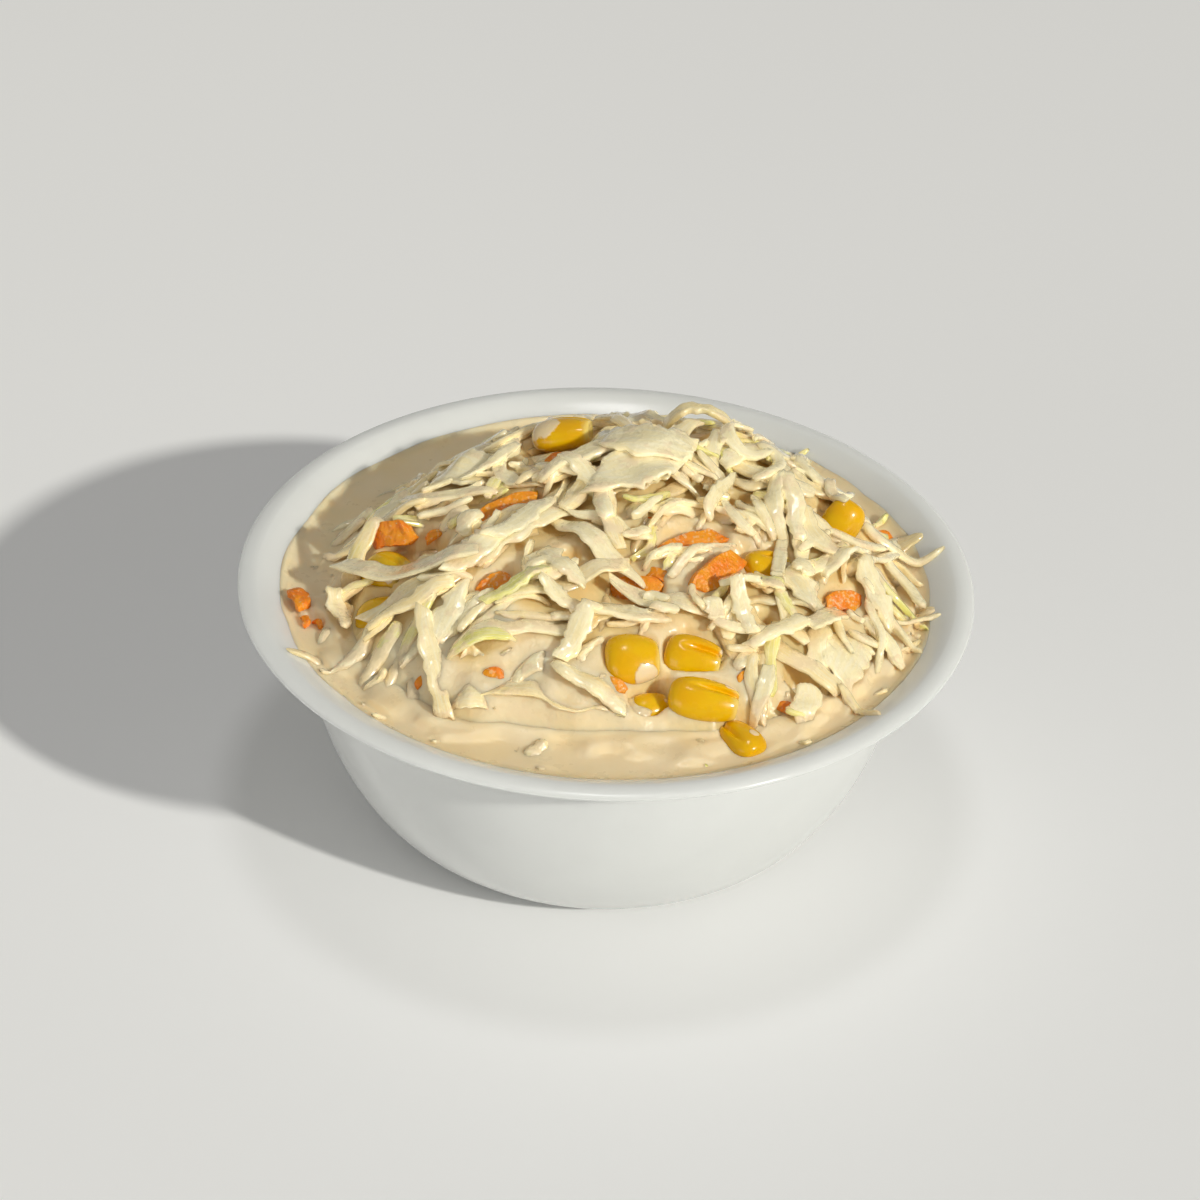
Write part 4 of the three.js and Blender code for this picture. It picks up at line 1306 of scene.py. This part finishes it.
@lru_cache(maxsize=1)
def cabbage():
    """Shreds: white, creamy or green by their tone, ribbed along their length, with films of dressing and
    painted shade low in the gaps.
    """
    material, tree, shader = new_material("Cabbage")
    tone, depth = attribute(tree, "tone"), attribute(tree, "depth")
    place = object_place(tree)
    patches = times(tree, sums(tree, "SUBTRACT", noise(tree, place, 150.0, 2.0), 0.5), 0.5)
    varied = sums(tree, "ADD", tone, patches)
    base = mixed(tree, ranged(tree, varied, 0.1, 0.5), rgba(colours().white), rgba(colours().creamy))
    base = mixed(tree, ranged(tree, varied, 0.6, 0.95), base, rgba(colours().green))
    strip = add_node(tree, "ShaderNodeUVMap", uv_map="strip").outputs["UV"]
    ribs = add_node(tree, "ShaderNodeMapping", {"Vector": strip, "Scale": (2.0, 9.0, 1.0)}).outputs["Vector"]
    rib = noise(tree, ribs, 1.6, 4.0)
    vein = ranged(tree, rib, 0.4, 0.65)
    paler = mixed(tree, times(tree, vein, 0.5), base, VEIN_COLOUR)
    ragged = times(tree, noise(tree, place, 420.0, 3.0), 0.5)
    emerged = ranged(tree, sums(tree, "SUBTRACT", attribute(tree, "proud"), ragged), -0.05, 0.4)
    cover = ranged(tree, emerged, 1.0, 0.0, 0.25, 1.3)
    film = grouped(tree, film_group(), {"Scale": 260.0, "Cover": cover, "Edge": 0.25})
    coated = mixed(tree, times(tree, film["Mask"], 0.9), paler, rgba(colours().cream))
    # painted shade: shreds lying low in the gaps turn darker and warmer
    low = ranged(tree, depth, 0.7, 0.05, 0.0, 0.7)
    tree.links.new(mixed(tree, low, coated, rgba(colours().gap_shade_cream)), shader.inputs["Base Color"])
    wet = wetted(tree, shader, 1300.0, 1.4, (0.8, 1.5), (0.15, 0.35))
    relief = sums(tree, "ADD", times(tree, rib, 0.5), times(tree, wet, 0.6))
    bumped(tree, shader, sums(tree, "ADD", relief, times(tree, film["Mask"], 0.4)), 0.2)
    set_soft(shader, 0.85, 2.0, (1.0, 1.0, 1.0))
    set_coat(shader, 1.0, 0.1)
    return material


@lru_cache(maxsize=1)
def sweetcorn():
    """Kernels: golden skin, a pale cut end and smears of dressing."""
    material, tree, shader = new_material("Sweetcorn")
    crown, smear = attribute(tree, "crown"), attribute(tree, "smear")
    place = object_place(tree)
    cloud = ranged(tree, noise(tree, place, 220.0, 3.0), 0.35, 0.65)
    gold = rgba(colours().corn)
    deeper = rgba([c * f for c, f in zip(colours().corn, (0.97, 0.86, 0.6))])
    skin = mixed(tree, cloud, gold, deeper)
    ragged = sums(tree, "ADD", crown, times(tree, noise(tree, place, 500.0, 3.0), 0.3))
    skin = mixed(tree, ranged(tree, ragged, -0.5, -0.72), skin, rgba(colours().corn_end))
    cloudy = noise(tree, place, 420.0, 4.0)
    edge = sums(tree, "ADD", smear, times(tree, sums(tree, "SUBTRACT", cloudy, 0.5), 1.1))
    mask = ranged(tree, edge, 0.26, 0.4)
    smeared = mixed(tree, times(tree, mask, 0.88), skin, rgba(colours().cream))
    tree.links.new(smeared, shader.inputs["Base Color"])
    wet = wetted(tree, shader, 420.0, 1.0, (0.6, 1.3), (0.16, 0.32))
    bumped(tree, shader, sums(tree, "ADD", times(tree, wet, 0.5), mask), 0.14)
    set_soft(shader, 0.6, 1.6, (1.0, 0.62, 0.05))
    shader.inputs["Specular IOR Level"].default_value = 0.2
    set_coat(shader, 0.5, 0.08)
    return material


@lru_cache(maxsize=1)
def carrot():
    """Shreds of carrot: saturated orange, crystalline, speckled with dressing."""
    material, tree, shader = new_material("Carrot")
    smear = attribute(tree, "smear")
    place = object_place(tree)
    cloud = ranged(tree, noise(tree, place, 300.0, 3.0), 0.35, 0.65)
    orange = rgba(colours().carrot)
    lighter = rgba([min(1.0, c * f + a) for c, f, a in zip(colours().carrot, (1, 1.4, 1), (0.03, 0.02, 0.0))])
    base = mixed(tree, cloud, orange, lighter)
    cover = times(tree, smear, 0.4)
    film = grouped(tree, film_group(), {"Scale": 1500.0, "Cover": cover, "Edge": 0.22})
    speckled = mixed(tree, times(tree, film["Mask"], 0.5), base, rgba(colours().cream))
    tree.links.new(speckled, shader.inputs["Base Color"])
    wet = wetted(tree, shader, 1100.0, 1.6, (0.7, 1.3), (0.2, 0.45))
    bumped(tree, shader, wet, 0.4)
    set_soft(shader, 0.6, 1.4, (1.0, 0.35, 0.1))
    return material


@lru_cache(maxsize=1)
def pale_floor():
    material, tree, shader = new_material("Pale floor")
    place = object_place(tree)
    cloud = ranged(tree, noise(tree, place, 3.0, 2.0), 0.3, 0.7)
    tone = bpy.context.scene.coleslaw_studio.floor
    clouded = mixed(tree, cloud, rgba(tone), rgba([0.985 * c for c in tone]))
    tree.links.new(clouded, shader.inputs["Base Color"])
    shader.inputs["Roughness"].default_value = 0.7
    return material


# ---- Stage ----

CAMERA_ELEVATION = 33.65
CAMERA_DISTANCE = 550.0
CAMERA_ROLL = 2.35
CAMERA_LENS = 101.05
IMAGE_SIDE = 1200
AIM_PIXEL = (607.0, 571.8)  # where the middle of the rim appears
KEY_DIRECTION = (-0.77, 0.64)  # the way the shadows fall, in plan
KEY_ELEVATION = 29.5
KEY_SOFTNESS = 2.5
OVERHEAD_SIZE = 0.13
OVERHEAD_PLACE = (0, 0, 0.85)
SIDE_SIZE = 0.5
SIDE_PLACE = (-0.5, -0.6, 0.1)
KEY_COLOUR = (1.0, 0.985, 0.92)
SKY_COLOUR = (1.0, 0.99, 0.945, 1.0)
FLOOR_SIZE = 3.0


def aimed(thing, direction, roll=0.0):
    """Turns a camera or light to look along a direction."""
    thing.rotation_mode = "QUATERNION"
    thing.rotation_quaternion = direction.to_track_quat("-Z", "Y") @ Quaternion((0, 0, 1), roll)


def make_camera():
    data = bpy.data.cameras.new("Camera")
    camera = in_scene("Camera", data)
    data.sensor_width = 36.0
    data.lens = CAMERA_LENS
    data.clip_start, data.clip_end = 0.01, 20.0
    data.shift_x = (IMAGE_SIDE / 2 - AIM_PIXEL[0]) / IMAGE_SIDE
    data.shift_y = (AIM_PIXEL[1] - IMAGE_SIDE / 2) / IMAGE_SIDE
    tilt = math.radians(CAMERA_ELEVATION)
    back = Vector((0, -math.cos(tilt), math.sin(tilt)))
    camera.location = Vector((0, 0, BOWL_HEIGHT * MM)) + back * CAMERA_DISTANCE * MM
    aimed(camera, -back, math.radians(CAMERA_ROLL))
    bpy.context.scene.camera = camera


def make_panel(name, strength, size, place):
    """A square soft light that faces the bowl."""
    light = bpy.data.lights.new(name, "AREA")
    light.energy = strength
    light.size = size
    panel = in_scene(name, light)
    panel.location = place
    aimed(panel, -Vector(place))


def make_lights():
    studio = bpy.context.scene.coleslaw_studio
    key = bpy.data.lights.new("Key", "SUN")
    key.energy = studio.key
    key.angle = math.radians(KEY_SOFTNESS)
    key.color = KEY_COLOUR
    fall = Vector((*KEY_DIRECTION, -math.tan(math.radians(KEY_ELEVATION))))
    aimed(in_scene("Key", key), fall)
    make_panel("Overhead", studio.overhead, OVERHEAD_SIZE, OVERHEAD_PLACE)
    make_panel("Side", studio.side, SIDE_SIZE, SIDE_PLACE)
    world = bpy.data.worlds.new("Studio")
    world.use_nodes = True
    sky = world.node_tree.nodes["Background"]
    sky.inputs["Color"].default_value = SKY_COLOUR
    sky.inputs["Strength"].default_value = studio.fill
    bpy.context.scene.world = world
    bpy.context.scene.view_settings.view_transform = "Standard"


def make_floor():
    bm = bmesh.new()
    bmesh.ops.create_grid(bm, x_segments=2, y_segments=2, size=FLOOR_SIZE)
    mesh = as_mesh("floor", bm)
    mesh.materials.append(pale_floor())
    in_scene("floor", mesh)


# ---- Operators ----


class COLESLAW_OT_bowl(bpy.types.Operator):
    """Make the opal glass bowl"""

    bl_idname = "coleslaw.bowl"
    bl_label = "Bowl"

    def execute(self, context):
        make_bowl()
        return {"FINISHED"}


class COLESLAW_OT_dressing(bpy.types.Operator):
    """Make the dressing round the heap and the cream inside it"""

    bl_idname = "coleslaw.dressing"
    bl_label = "Dressing"

    def execute(self, context):
        make_dressing()
        make_core()
        return {"FINISHED"}


class COLESLAW_OT_shreds(bpy.types.Operator):
    """Lay the shreds of cabbage on the heap"""

    bl_idname = "coleslaw.shreds"
    bl_label = "Shreds"

    def execute(self, context):
        nets = laid_heap()[0]
        for kind, strips in nets.items():
            make_strips(f"cabbage_{kind}", strips, 1 if kind == "main" else 0)
        return {"FINISHED"}


class COLESLAW_OT_corn(bpy.types.Operator):
    """Make the kernels and scraps of sweetcorn"""

    bl_idname = "coleslaw.corn"
    bl_label = "Sweetcorn"

    def execute(self, context):
        draw = np.random.default_rng(context.scene.coleslaw_heap.seed + 1)
        for node, row in CORN.items():
            make_kernel(node, row)
        make_scraps("corn_scraps", CORN_SCRAPS, sweetcorn(), draw)
        return {"FINISHED"}


class COLESLAW_OT_carrot(bpy.types.Operator):
    """Make the shreds and scraps of carrot"""

    bl_idname = "coleslaw.carrot"
    bl_label = "Carrot"

    def execute(self, context):
        draw = np.random.default_rng(context.scene.coleslaw_heap.seed + 2)
        for node, row in CARROT.items():
            make_carrot(node, row, draw)
        make_scraps("carrot_scraps", CARROT_SCRAPS, carrot(), draw)
        return {"FINISHED"}


class COLESLAW_OT_stage(bpy.types.Operator):
    """Make the floor, the lights and the camera"""

    bl_idname = "coleslaw.stage"
    bl_label = "Stage"

    def execute(self, context):
        make_camera()
        make_lights()
        make_floor()
        return {"FINISHED"}


OPERATORS = (
    COLESLAW_OT_stage,
    COLESLAW_OT_bowl,
    COLESLAW_OT_shreds,
    COLESLAW_OT_dressing,
    COLESLAW_OT_corn,
    COLESLAW_OT_carrot,
)


class COLESLAW_PT_panel(bpy.types.Panel):
    """Buttons and settings for the bowl of coleslaw"""

    bl_idname = "COLESLAW_PT_panel"
    bl_label = "Coleslaw"
    bl_space_type = "VIEW_3D"
    bl_region_type = "UI"
    bl_category = "Coleslaw"

    def draw(self, context):
        for operator in OPERATORS:
            self.layout.operator(operator.bl_idname)
        for name in SETTINGS:
            box = self.layout.box()
            settings = getattr(context.scene, name)
            for prop in settings.bl_rna.properties:
                if prop.identifier not in ("name", "rna_type"):
                    box.prop(settings, prop.identifier)


SETTINGS = {
    "coleslaw_heap": HeapSettings,
    "coleslaw_colours": ColourSettings,
    "coleslaw_studio": StudioSettings,
}
CLASSES = (*SETTINGS.values(), *OPERATORS, COLESLAW_PT_panel)


def register():
    for cls in CLASSES:
        bpy.utils.register_class(cls)
    for name, group in SETTINGS.items():
        setattr(bpy.types.Scene, name, PointerProperty(type=group))


def unregister():
    for name in SETTINGS:
        delattr(bpy.types.Scene, name)
    for cls in reversed(CLASSES):
        bpy.utils.unregister_class(cls)


def main():
    register()
    for operator in OPERATORS:
        group, name = operator.bl_idname.split(".")
        getattr(getattr(bpy.ops, group), name)()


if __name__ == "__main__":
    main()
